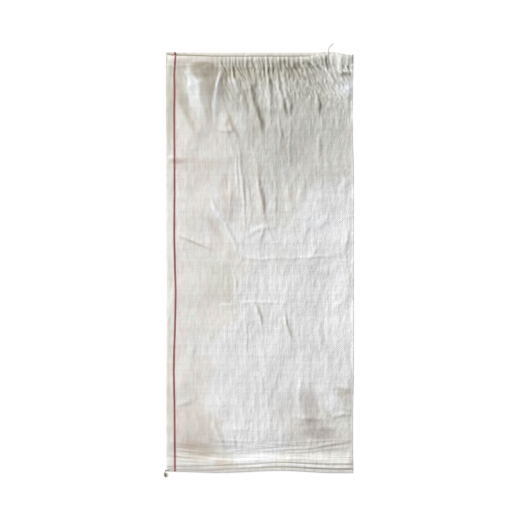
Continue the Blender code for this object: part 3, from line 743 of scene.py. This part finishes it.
def relief(x, y):
    """What the folds, gathers and creases add at some points of the front panel."""
    shape = x.shape
    x, y = x.ravel(), y.ravel()
    height = undulation(x, y)
    small = sum(cones(x, y, *crumple) for crumple in CRUMPLES) * np.minimum(crumpled(x, y), 1.4)
    x, y = wandering(x, y)
    top = [from_photo(stations, TOP_STRENGTH) for stations in TOP_FOLDS]
    body = [from_photo(stations, BODY_STRENGTH) for stations in BODY_FOLDS]
    for folds, power in ((top, SHARP), (body, SOFT), (pleat_folds(), SHARP), (gather_creases(), CRISP)):
        for stations in folds:
            add_fold(height, x, y, stations, power)
    for stations in small_creases():
        add_fold(small, x, y, stations, SOFT)
    on_facet = np.exp(-(turned_reach(np.stack([x, y], axis=-1), *SMOOTH_FACET) ** 6))
    return (height + small * (1 - on_facet)).reshape(shape)


def seam_relief(x, y):
    """What the folds and wrinkles just above the seam add. They only rise."""
    shape = x.shape
    x, y = x.ravel(), y.ravel()
    height = np.zeros_like(x)
    if y.min() < SEAM_RELIEF_TOP:
        for stations in [from_photo(stations) for stations in SEAM_FOLDS] + seam_wrinkles():
            add_fold(height, x, y, stations, CRISP)
    return height.reshape(shape)


def tail_seat(x, y, z):
    """Makes the hem carry the loose thread that lies on it, by a pleat under it."""
    route_x, route_y, route_z = np.array(MOUTH_TAIL[:TAIL_ON_HEM]).T
    target = np.interp(y, route_y, route_z) - (CLOTH + TAIL_THREAD + CLEARANCE) / 2
    aside = (x - np.interp(y, route_y, route_x)) / TAIL_PLEAT
    return z + (target - z) * np.exp(-(aside**2)) * smooth((y - TAIL_PLEAT_FROM) / 0.010)


def bottom_shift(x, y):
    """Moves the sewn bottom in to its wavy edge."""
    return along(BOTTOM_EDGE, x) * smooth((BOTTOM_Y + EDGE_REACH - y) / (0.8 * EDGE_REACH))


def near_mouth(y):
    """1 at the mouth, falling to 0 a hand's width below it."""
    return smooth((y - (MOUTH_Y - EDGE_REACH)) / (0.8 * EDGE_REACH))


def front_points(x, y, tuck=0.0):
    """Points of the front panel. y is the place along the flat sack, before its edges are pulled in."""
    inward = HALF_WIDTH - np.abs(x)
    back_edge = -along(BACK_MOUTH_EDGE, x)
    ruffle = np.sin(2 * math.pi * x / RUFFLE_LENGTH) * smooth((x - RUFFLES_FROM) / 0.03)
    front_edge = along(FRONT_MOUTH_LIFT, x) - FRONT_EDGE_DROP + RUFFLE_HEIGHT * ruffle
    edge = back_edge + (front_edge - back_edge) * smooth(inward / RIM_TURN)
    place_y = y + bottom_shift(x, y) + edge * near_mouth(y)
    lens = np.clip(1 - (x / HALF_WIDTH) ** 2, 0, 1)
    at_rim = smooth((y - (MOUTH_Y - 3 * HEM_DEPTH)) / (2 * HEM_DEPTH))
    spread = lens + (1 - np.exp(-inward / SHOULDER) - lens) * at_rim
    slack = smooth((y - (BOTTOM_Y + SLACK_FROM)) / SLACK_LENGTH)
    free = smooth(inward / FREE_FROM_SIDE)
    lift = PUFF * spread * slack + (relief(x, place_y) * slack + hem_height(y)) * free
    wrinkled = seam_relief(x, place_y) * free * smooth((y - (BOTTOM_Y + SEAM_TIGHT)) / 0.006)
    floor = back_height(y) + side_gap(y)
    z = floor + np.maximum(lift, LEAST_LIFT * free) + wrinkled + seam_height(x, y)
    z = tail_seat(x, place_y, z) - LAYER_STEP * tuck
    return np.stack([x, place_y, z], axis=-1)


def back_points(x, y, tuck=0.0):
    """Points of the back panel, flat on the floor but for its stitches and the bottom flap."""
    place_y = y + bottom_shift(x, y) - along(BACK_MOUTH_EDGE, x) * near_mouth(y)
    return np.stack([x, place_y, back_height(y) + LAYER_STEP * tuck], axis=-1)


def closed_rings(front, back, half, gap):
    """Rings through front lines and back lines, with a tight turn at each side crease. half and gap, the
    distance between the panels there, hold a value for each ring."""
    across = (half - 0.5 * gap)[:, None]
    ends = half[:, None] * np.array([1.0, -1.0])
    turns = (front(ends) + back(ends)) / 2
    over, under = front(across * FRONT_LINES), back(across * BACK_LINES)
    return np.concatenate([over, turns[:, :1], under, turns[:, 1:]], axis=1)


def ring_girth():
    """The way round the flat tube from the left crease to each point of a ring, front panel first."""
    over, under = HALF_WIDTH * (FRONT_LINES + 1), HALF_WIDTH * (3 - BACK_LINES)
    return np.concatenate([over, [SACK_WIDTH], under, [2 * SACK_WIDTH]])


def wall_rings(places, tucks):
    """The tube's rings at some places. tuck is 0 in the outer layer and 1 in the hem inside it."""
    y, tuck = np.array(places), np.array(tucks)
    half = HALF_WIDTH - math.sqrt(2) * LAYER_STEP * tuck
    gap = side_gap(y) - 2 * LAYER_STEP * tuck

    def panel(points):
        return lambda x: points(x, np.broadcast_to(y[:, None], x.shape), tuck[:, None])

    return closed_rings(panel(front_points), panel(back_points), half, gap)


def turned_rings(angles, runs):
    """Rings of the bottom fold: both panels turn under together by an angle, then run back by a length."""
    outer, inner = 1.5 * LAYER_STEP, 0.5 * LAYER_STEP
    angle, run = np.array(angles)[:, None], np.array(runs)[:, None]

    def panel(radius):
        def points(x):
            shift = bottom_shift(x, np.full_like(x, BOTTOM_Y))
            y = BOTTOM_Y + outer - radius * np.sin(angle) + run + shift
            z = CLOTH / 2 + outer + radius * np.cos(angle) + np.zeros_like(x)
            return np.stack([x, y, z], axis=-1)
        return points

    half = np.full(len(angles), HALF_WIDTH)
    return closed_rings(panel(outer), panel(inner), half, np.full(len(angles), LAYER_STEP))


def row_places():
    """Places of the rings along the outer layer, from the rim to the bottom."""
    places = [MOUTH_Y]
    for end, step in RING_STEPS:
        count = max(1, round((places[-1] - end) / step))
        places += list(np.linspace(places[-1], end, count + 1)[1:])
    return places[1:]


def side_wobble(rings):
    """Moves the side creases a little in and out, as the photograph shows them."""
    x, y = rings[..., 0], rings[..., 1]
    moved = rings.copy()
    moved[..., 0] += along(LEFT_SIDE, y) * smooth((-x - 0.14) / 0.06)
    moved[..., 0] += along(RIGHT_SIDE, y) * smooth((x - 0.14) / 0.06)
    return moved


def tube_rings():
    """All rings and their places along the cloth, from its raw edge in the mouth to that of the flap."""
    inside = [HEM_DEPTH, HEM_STITCH_DEPTH, 0.018, 0.012, 0.006, 0.0015]
    outside = row_places()
    places = [MOUTH_Y - up for up in inside] + [MOUTH_Y] + outside
    tucks = [1.0] * len(inside) + [0.5] + [0.0] * len(outside)
    angles = [math.radians(a) for a in (15, 60, 120, 180, 180, 180)]
    runs = [0.0, 0.0, 0.0, 0.0, BOTTOM_FLAP / 2, BOTTOM_FLAP]
    rings = side_wobble(np.concatenate([wall_rings(places, tucks), turned_rings(angles, runs)]))
    along_cloth = [MOUTH_Y + up for up in inside] + [MOUTH_Y] + outside
    along_cloth += [BOTTOM_Y - 1.5 * LAYER_STEP * a / math.pi - run for a, run in zip(angles, runs)]
    return rings, np.array(along_cloth)


def turned_reach(points, px, py, wide, tall, turn):
    """How far points lie from the centre of a turned ellipse: 1 at its edge. All but them are in pixels."""
    cx, cy = seen(px, py)
    dx, dy = (points[:, 0] - cx) / PHOTO_PIXEL, (cy - points[:, 1]) / PHOTO_PIXEL
    cos, sin = math.cos(math.radians(turn)), math.sin(math.radians(turn))
    return np.hypot((dx * cos + dy * sin) / wide, (dy * cos - dx * sin) / tall)


def patch_tone(points):
    """The patches' tone at each point, much of it painted light and shade: the share of the cloth's linear
    red, green and blue that is left.
    """
    tone = np.ones((len(points), 3))
    for *ellipse, crisp, red, green, blue in PATCHES:
        share = np.exp(-(turned_reach(points, *ellipse) ** (2 * crisp)))
        tone *= 1 + share[:, None] * (np.array([red, green, blue]) ** 2.2 - 1)
    return tone


def painted_sheen(points):
    """How far inside the zones of painted sheen each point lies: 0.5 at an edge, 1 and 0 some pixels to
    its sides.
    """
    most = np.zeros(len(points))
    for *ellipse, level in SHEEN_ZONES:
        inside = 0.5 + (1 - turned_reach(points, *ellipse)) * min(ellipse[2:4]) / EDGE_BLUR
        most = np.maximum(most, np.clip(inside, 0, level))
    return most


def fold_shade(front):
    """Painted shade: darker and browner tone down in the folds of the front panel, strongest below the mouth.
    """
    z = front[..., 2]
    padded = np.pad(z, ((0, 0), (2, 2)), mode="edge")
    around = sum(share * padded[:, k:k + z.shape[1]] for k, share in enumerate(NEIGHBOURS)) / sum(NEIGHBOURS)
    below_mouth = smooth((front[..., 1] - 0.30) / 0.09)
    depth = np.clip((around - z) / FULL_DEPTH, -0.45, 1) * (0.12 + 0.88 * below_mouth)
    return 1 - depth[..., None] * np.array(FOLD_SHADE)


def rim_shade(front, run):
    """A dark line of painted shade along the front rim, fainter where the rim is ruffled."""
    x = front[..., 0]
    at_rim = np.exp(-(((run[:, None] - MOUTH_Y + 0.0004) / RIM_LINE) ** 2))
    plain = 1 - RIM_FAINTER * smooth((x - RIM_FAINT_FROM) / 0.03)
    left = 1 - RIM_SHADE * at_rim * plain * smooth((x + HALF_WIDTH) / 0.014)
    return left[..., None] ** np.array([1.0, 1.1, 1.4])


def rows_shade(front, run):
    """Painted shade in the grooves of the two rows of bottom stitches, strongest in the lower one at
    the right.
    """
    x, above = front[..., 0], run[:, None] - BOTTOM_Y
    left = 1
    for row, dark in ((LOWER_ROW, LOWER_SHADE), (UPPER_ROW, UPPER_SHADE)):
        left = left * (1 - along(dark, x) * np.exp(-(((above - along(row, x)) / ROW_LINE) ** 2)))
    return left[..., None] ** np.array([1.0, 1.1, 1.3])


def cloth_shade(rings, run):
    """The share of each colour that the painted shade in the folds, on the rim and in the rows of stitches
    leaves, and the painted light on the back's rim.
    """
    columns = len(FRONT_LINES)
    front = rings[:, :columns]
    tone = np.ones(rings.shape)
    tone[:, :columns] = fold_shade(front) * rim_shade(front, run) * rows_shade(front, run)
    # painted light: the back panel's rim is made paler
    tone[run > MOUTH_Y - 0.001, columns:] = RIM_PAINTED_LIGHT
    return tone.reshape(-1, 3)


def tape_map(run):
    """How many tapes each corner of each face lies from the left crease and along the cloth. The tapes near
    the stripe run a little askew, as the stripe shows."""
    girth = np.append(ring_girth(), 2 * SACK_WIDTH + ring_girth()[0])
    stripe_y, stripe_x = np.array([(seen(0, py)[1], seen(px, 0)[0]) for py, px in reversed(STRIPE_X)]).T
    middle = (RED_FRONT[0] + RED_FRONT[1]) / 2 * TAPE - HALF_WIDTH
    from_crease = np.minimum(girth, 2 * SACK_WIDTH - girth)
    wander = (np.interp(run, stripe_y, stripe_x) - middle)[:, None] * smooth(1.25 - from_crease / 0.16)
    across = (girth - wander) / TAPE
    at = np.stack([across, np.broadcast_to(run[:, None] / TAPE, across.shape)], axis=-1)
    return np.stack([at[:-1, :-1], at[1:, :-1], at[1:, 1:], at[:-1, 1:]], axis=2)


def placed(name, data):
    """A new object of the scene."""
    made = bpy.data.objects.new(name, data)
    bpy.context.scene.collection.objects.link(made)
    return made


def piece(name, data, finish):
    """A named piece with its material, which rides on the sack."""
    data.materials.append(finish)
    made = placed(name, data)
    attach(made, BODY)
    return made


def ring_faces(lines, count):
    """The faces between neighbouring closed rings of points."""
    first = np.arange(lines - 1)[:, None] * count
    i = np.arange(count)
    j = (i + 1) % count
    return np.stack([first + i, first + count + i, first + count + j, first + j], axis=-1).reshape(-1, 4)


def woven_cloth(finish):
    """The cloth: one seamless tube, a surface through the middle of its thickness, thickened by Solidify."""
    rings, run = tube_rings()
    points = rings.reshape(-1, 3)
    mesh = bpy.data.meshes.new("woven_cloth")
    mesh.from_pydata(points.tolist(), [], ring_faces(*rings.shape[:2]).tolist())
    mesh.shade_smooth()
    mesh.uv_layers.new(name="tapes").data.foreach_set("uv", tape_map(run).reshape(-1))

    stray = np.stack(wandering(points[:, 0], points[:, 1]), axis=-1)
    # The cloth's tone, with the painted light and shade of the patches, folds, rim and rows of stitches
    colour = patch_tone(stray) * cloth_shade(rings, run)
    tone = np.concatenate([colour, crumpled(points[:, 0], points[:, 1])[:, None]], axis=1)
    white = mesh.attributes.new("painted_sheen", "FLOAT", "POINT")
    white.data.foreach_set("value", painted_sheen(stray).astype(np.float32))
    attribute = mesh.attributes.new("tone", "FLOAT_COLOR", "POINT")
    attribute.data.foreach_set("color", tone.astype(np.float32).reshape(-1))

    made = piece("woven_cloth", mesh, finish)
    thick = made.modifiers.new("cloth", "SOLIDIFY")
    thick.thickness = CLOTH
    thick.offset = 0.0
    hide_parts("woven_tube")


class Value:
    """A number, vector or colour that a material works out. Arithmetic on numbers adds math nodes."""

    def __init__(self, nodes, socket):
        self.nodes = nodes
        self.socket = socket

    def __add__(self, other):
        return self.nodes.math("ADD", self, other)

    def __sub__(self, other):
        return self.nodes.math("SUBTRACT", self, other)

    def __rsub__(self, other):
        return self.nodes.math("SUBTRACT", other, self)

    def __mul__(self, other):
        return self.nodes.math("MULTIPLY", self, other)


class Nodes:
    """A short way to write a material's nodes."""

    def __init__(self, name):
        self.material = bpy.data.materials.new(name)
        self.material.use_nodes = True
        self.tree = self.material.node_tree

    def fill(self, node, inputs):
        """Sets some inputs of a node to numbers or colours, or links them."""
        for socket, value in inputs.items():
            if isinstance(value, Value):
                self.tree.links.new(value.socket, node.inputs[socket])
            else:
                node.inputs[socket].default_value = value

    def finish(self, **inputs):
        """Fills the shader's inputs, named with _ for a space, and gives the material."""
        shader = self.tree.nodes["Principled BSDF"]
        self.fill(shader, {name.replace("_", " "): value for name, value in inputs.items()})
        return self.material

    def make(self, kind, inputs, output=0, **settings):
        """Adds a node, and gives one of its outputs."""
        node = self.tree.nodes.new("ShaderNode" + kind)
        for name, value in settings.items():
            setattr(node, name, value)
        self.fill(node, inputs)
        return Value(self, node.outputs[output])

    def math(self, operation, *values):
        return self.make("Math", dict(enumerate(values)), operation=operation)

    def place(self):
        return self.make("TexCoord", {}, "Object")

    def attribute(self, name, output):
        return self.make("Attribute", {}, output, attribute_name=name)

    def part(self, vector, axis):
        """One of a vector's numbers."""
        return self.make("SeparateXYZ", {0: vector}, axis)

    def flat(self, x, y):
        """A vector of two numbers."""
        return self.make("CombineXYZ", {0: x, 1: y})

    def mix(self, share, a, b):
        """Colour a where share is 0, b where it is 1."""
        return self.make("Mix", {0: share, 6: a, 7: b}, 2, data_type="RGBA")

    def times(self, a, b):
        """One colour or vector times another, or times a number."""
        return self.make("VectorMath", {0: a, 1: b}, operation="MULTIPLY")

    def step(self, value, low, high):
        """A soft step from 0 at low to 1 at high."""
        inputs = {"Value": value, "From Min": low, "From Max": high}
        return self.make("MapRange", inputs, interpolation_type="SMOOTHSTEP")

    def noise(self, vector, scale, detail=2.0):
        return self.make("TexNoise", {"Vector": vector, "Scale": scale, "Detail": detail}, "Fac")

    def cells(self, vector):
        """How far the nearest of some scattered points is, about one to each unit square."""
        return self.make("TexVoronoi", {"Vector": vector, "Scale": 1.0}, "Distance", voronoi_dimensions="2D")

    def bump(self, height, distance, **under):
        inputs = {"Strength": 1.0, "Distance": distance, "Height": height}
        return self.make("Bump", inputs | under)


def woven_material():
    """Plain weave of flat tapes. The cloth's UV map counts tapes, so a cell is one crossing."""
    n = Nodes("woven_tapes")
    tapes = n.make("UVMap", {}, uv_map="tapes")
    across, length = n.part(tapes, 0), n.part(tapes, 1)
    warp, weft = n.math("FLOOR", across), n.math("FLOOR", length)
    weft_over = n.math("PINGPONG", warp + weft, 1.0)
    crumple_here = n.attribute("tone", "Alpha")
    place = n.place()

    def swap(if_warp, if_weft):
        return if_weft * weft_over + if_warp * (1 - weft_over)

    def from_middle(count):
        return n.math("ABSOLUTE", n.math("FRACT", count) * 2 - 1)

    beside = swap(from_middle(across), from_middle(length))
    arch = swap(from_middle(length), from_middle(across))
    height = (1 - n.math("POWER", arch, 2.4)) * 0.75 + n.step(beside, 1.0, 0.80) * 0.25

    tape_number = n.flat(swap(warp, weft + WEFT_NUMBERS), weft_over)
    tape = n.make("TexWhiteNoise", {"Vector": tape_number}, "Value", noise_dimensions="2D")
    warp_streak = n.noise(n.flat(warp * 3.71, length * 0.09), 1.0)
    weft_streak = n.noise(n.flat(across * 0.030, weft * 5.13), 1.0)
    band_streak = n.noise(n.flat(across * 0.36, length * 0.035), 1.0)
    above_seam = n.step(n.math("ABSOLUTE", length - STREAKED_AT), *STREAKED_REACH)

    tone = (tape - 0.5) * 0.10 + 1.045
    tone += (warp_streak - 0.5) * (crumple_here * 0.36 + 0.06)
    tone += (band_streak - 0.5) * crumple_here * 0.14
    tone += (weft_streak - 0.5) * (above_seam * 0.55 + 0.12)
    tone += (n.noise(place, 55.0, 3.0) - 0.5) * 0.08
    # painted sheen: cells where a weft tape lies over are darker than those of warp tapes
    tone -= weft_over * 0.205
    # painted shade where the tapes dip at their edges and ends
    tone *= n.step(height, 0.05, 0.45) * 0.20 + 0.80

    hue = n.noise(n.times(place, (1.0, 0.40, 1.0)), 95.0, 4.0)
    ragged = (n.noise(n.times(place, (1.0, 0.35, 1.0)), 110.0, 5.0) - 0.5) * 1.2
    cream = n.mix(n.step(crumple_here * 0.15 + hue, 0.52, 0.64), PINKISH, GREENISH)
    # painted sheen: bluish white where the zones of painted sheen lie
    cream = n.mix(n.step(n.attribute("painted_sheen", "Fac") + ragged, 0.40, 0.60), cream, SHEEN_WHITE)

    def between(low, high):
        return n.step(across, low + 0.06, low + 0.20) * n.step(across, high - 0.06, high - 0.20)

    red = n.mix(weft_over * n.step(arch, 0.95, 0.78), RED_TAPE, RED_UNDER_WEFT)
    in_stripe = between(*RED_FRONT) + between(*RED_BACK)
    # the tone attribute brings the patches' tone with their painted light and shade
    colour = n.mix(in_stripe, n.times(cream, n.attribute("tone", "Color")), red)

    warped = (n.noise(place, 60.0, 2.0) - 0.5) * 2.4
    narrow = n.cells(n.flat(across * 0.42 + warped, length * 0.13))
    broad = n.cells(n.flat(across * 0.22, length * 0.13 + warped))
    creased = n.bump((narrow + broad * 1.5) * crumple_here, 0.00034)
    return n.finish(Base_Color=n.times(colour, tone), Roughness=swap(warp_streak, weft_streak) * 0.25 + 0.34,
                    Specular_IOR_Level=0.35, Normal=n.bump(height, 0.00014, Normal=creased))


def thread_material(name, colours, soiling=None):
    """Matte spun thread of a colour, darker between its plies. soiling is an axis, a place along it where the
    thread is as clean as the stitches, and the place where it is soiled."""
    n = Nodes(name)
    colour, dark = colours
    place = n.place()
    fibres = n.noise(place, 2600.0, 3.0)
    shown = n.mix(n.step(fibres * 0.45 + n.noise(place, 420.0, 3.0) * 0.55, 0.34, 0.62), dark, colour)
    if soiling is not None:
        axis, clean_at, soiled_at = soiling
        shown = n.mix(n.step(n.part(place, axis), clean_at, soiled_at), CLEAN_THREAD, shown)
    return n.finish(Base_Color=shown, Roughness=0.75, Specular_IOR_Level=0.2, Normal=n.bump(fibres, 0.00008))


def smooth_route(points, steps):
    """A Catmull-Rom curve through a short list of points."""
    points = [Vector(p) for p in points]
    padded = [2 * points[0] - points[1], *points, 2 * points[-1] - points[-2]]
    route = []
    for a, b, c, d in zip(padded, padded[1:], padded[2:], padded[3:]):
        for i in range(steps):
            t = i / steps
            bend = (2 * a - 5 * b + 4 * c - d) * t * t + (3 * b - a - 3 * c + d) * t**3
            route.append((2 * b + (c - a) * t + bend) / 2)
    return [*route, points[-1]]


def ply_tube(route, radius, sides=8, pitch=0.0042, taper=1.0):
    """Points and faces of a twisted thread along a route, closed at both ends. taper is a share, or one for
    each point."""
    route = np.array(route)
    ahead = np.gradient(route, axis=0)
    ahead /= np.linalg.norm(ahead, axis=1, keepdims=True)
    side = np.cross(ahead, (0.0, 0.0, 1.0))
    side /= np.maximum(np.linalg.norm(side, axis=1, keepdims=True), 1e-9)
    up = np.cross(side, ahead)
    steps = np.linalg.norm(np.diff(route, axis=0), axis=1)
    turns = np.concatenate([[0.0], np.cumsum(steps)]) / pitch
    angles = np.arange(sides) * 2 * math.pi / sides
    lobes = np.abs(np.cos(PLIES / 2 * (angles - 2 * math.pi * turns[:, None])))
    reach = (radius * (0.76 + 0.24 * lobes).T * taper).T[..., None]
    rings = reach * (np.cos(angles)[:, None] * side[:, None] + np.sin(angles)[:, None] * up[:, None])
    faces = [(a, d, c, b) for a, b, c, d in ring_faces(len(route), sides).tolist()]
    last = (len(route) - 1) * sides
    ends = [tuple(reversed(range(sides))), tuple(last + i for i in range(sides))]
    return (route[:, None] + rings).reshape(-1, 3), faces + ends


def joined(name, tubes, finish):
    """One mesh piece from many tubes."""
    points, faces, start = [], [], 0
    for tube_points, tube_faces in tubes:
        points.append(tube_points)
        faces += [tuple(start + i for i in face) for face in tube_faces]
        start += len(tube_points)
    mesh = bpy.data.meshes.new(name)
    mesh.from_pydata(np.concatenate(points).tolist(), [], faces)
    mesh.shade_smooth()
    mesh.set_sharp_from_angle(angle=math.radians(60))
    return piece(name, mesh, finish)


def stitches(place, start, end, pitch, length, lift):
    """Tubes of a row of stitches, whose ends dive to the cloth. place(x) gives points of its middle."""
    tubes = []
    shares = np.linspace(-0.5, 0.5, 9)
    arch = np.cos(math.pi * shares) ** 0.6
    for x in np.arange(start + 0.5 * pitch, end - 0.3 * pitch, pitch):
        route = place(x + shares * length)
        route[:, 2] += lift * (0.35 + 0.65 * arch)
        tubes.append(ply_tube(route, THREAD / 2, taper=0.62 + 0.38 * arch))
    return tubes


def hem_stitches(finish):
    """The hem's stitches, over the front panel and under the back panel."""

    def over(x):
        return front_points(x, np.full_like(x, HEM_ROW_Y))

    def under(x):
        points = back_points(x, np.full_like(x, HEM_ROW_Y))
        points[:, 2] = THREAD / 2
        return points

    tubes = stitches(over, -HEM_ROW_END, HEM_ROW_END, HEM_PITCH, FRONT_STITCH, ON_CLOTH)
    tubes += stitches(under, -HEM_ROW_END, HEM_ROW_END, HEM_PITCH, BACK_STITCH, 0.0)
    made = joined("hem_stitches", tubes, finish)
    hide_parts("mouth_hem_stitching")


def seam_stitches(name, node, row, first_x, finish):
    """One row of stitches across the bottom seam."""

    def over(x):
        return front_points(x, BOTTOM_Y + along(row, x))

    tubes = stitches(over, first_x, SEAM_ROW_END, SEAM_PITCH, SEAM_STITCH, ON_CLOTH)
    made = joined(name, tubes, finish)
    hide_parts(node)


def knot_tube(centre, size, thread):
    """A small overhand knot of thread that fills a round space of a given size."""
    t = np.linspace(0, 2 * math.pi, KNOT_POINTS, endpoint=False)
    wide = (2 + np.cos(3 * t)) / 3
    form = np.stack([wide * np.cos(2 * t), wide * np.sin(2 * t), np.sin(3 * t)], axis=-1)
    route = form * (np.array(size) - thread) / 2 + np.array(centre)
    return ply_tube(np.concatenate([route, route[:1]]), thread / 2)


def loose_cord(route):
    """Works out the length of a loose thread end's route, which nothing uses."""
    length = sum((b - a).length for a, b in zip(route, route[1:]))


def mouth_tail(finish):
    """The mouth's loose thread end with the small knot that closes it."""
    route = smooth_route(MOUTH_TAIL, 10)
    made = joined("mouth_tail", [ply_tube(route, TAIL_THREAD / 2, 12, TAIL_PITCH)], finish)
    low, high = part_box("mouth_tail_knot")
    tied = knot_tube((low + high) / 2, high - low, MOUTH_KNOT_THREAD)
    knot = joined("mouth_knot", [tied], finish)
    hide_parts("mouth_thread_tail")
    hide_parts("mouth_tail_knot")
    loose_cord(route)


def bottom_tail(finish):
    """The bottom seam's loose chain, and the full knot that it loops round."""
    route = smooth_route(BOTTOM_TAIL, 8)
    made = joined("bottom_tail", [ply_tube(route, CHAIN / 2, 14, CHAIN_PITCH)], finish)
    low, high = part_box("bottom_tail_knot")
    tied = knot_tube((low + high) / 2, np.array(high - low) * BOTTOM_KNOT_FILL, BOTTOM_KNOT_THREAD)
    knot = joined("bottom_knot", [tied], finish)
    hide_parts("bottom_thread_tail")
    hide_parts("bottom_tail_knot")
    loose_cord(route)


def add_camera():
    """The camera looks straight down on the sack, as the photograph does."""
    data = bpy.data.cameras.new("camera")
    data.lens = LENS
    data.sensor_width = SENSOR
    data.clip_end = 20.0
    camera = placed("camera", data)
    x, y = seen(PHOTO_SIDE / 2, PHOTO_SIDE / 2)
    camera.location = (x, y, PICTURE_Z + PHOTO_SIDE * PHOTO_PIXEL * LENS / SENSOR)
    bpy.context.scene.camera = camera


def add_studio():
    """A pale floor, a soft key light from the upper left, and pale light all round."""
    bpy.ops.mesh.primitive_plane_add(size=12.0, location=(0, 0, -0.0003))
    floor = bpy.context.object
    floor.name = "floor"
    floor.data.materials.append(Nodes("pale_floor").finish(
        Base_Color=(0.18, 0.18, 0.18, 1), Roughness=0.9, Specular_IOR_Level=0.1,
        Emission_Color=(1, 1, 1, 1), Emission_Strength=FLOOR_GLOW,
    ))

    sun = bpy.data.lights.new("key", "SUN")
    sun.energy = KEY_STRENGTH
    sun.angle = math.radians(16)
    placed("key", sun).rotation_euler = Vector(KEY_SIDE).normalized().to_track_quat("Z", "Y").to_euler()

    world = bpy.data.worlds.new("studio")
    world.use_nodes = True
    background = world.node_tree.nodes["Background"]
    background.inputs["Color"].default_value = (1, 1, 1, 1)
    background.inputs["Strength"].default_value = ROOM_LIGHT
    bpy.context.scene.world = world
    bpy.context.scene.view_settings.view_transform = "Standard"


add_camera()
mouth_tail(thread_material("grey_thread", GREY_THREAD, MOUTH_SOILING))
bottom_tail(thread_material("brown_thread", BROWN_THREAD, BOTTOM_SOILING))
add_studio()
woven_cloth(woven_material())
white_thread = thread_material("white_thread", WHITE_THREAD)
hem_stitches(white_thread)
seam_stitches("lower_row", "bottom_stitching_lower", LOWER_ROW, LOWER_ROW_START, white_thread)
seam_stitches("upper_row", "bottom_stitching_upper", UPPER_ROW, UPPER_ROW_START, white_thread)
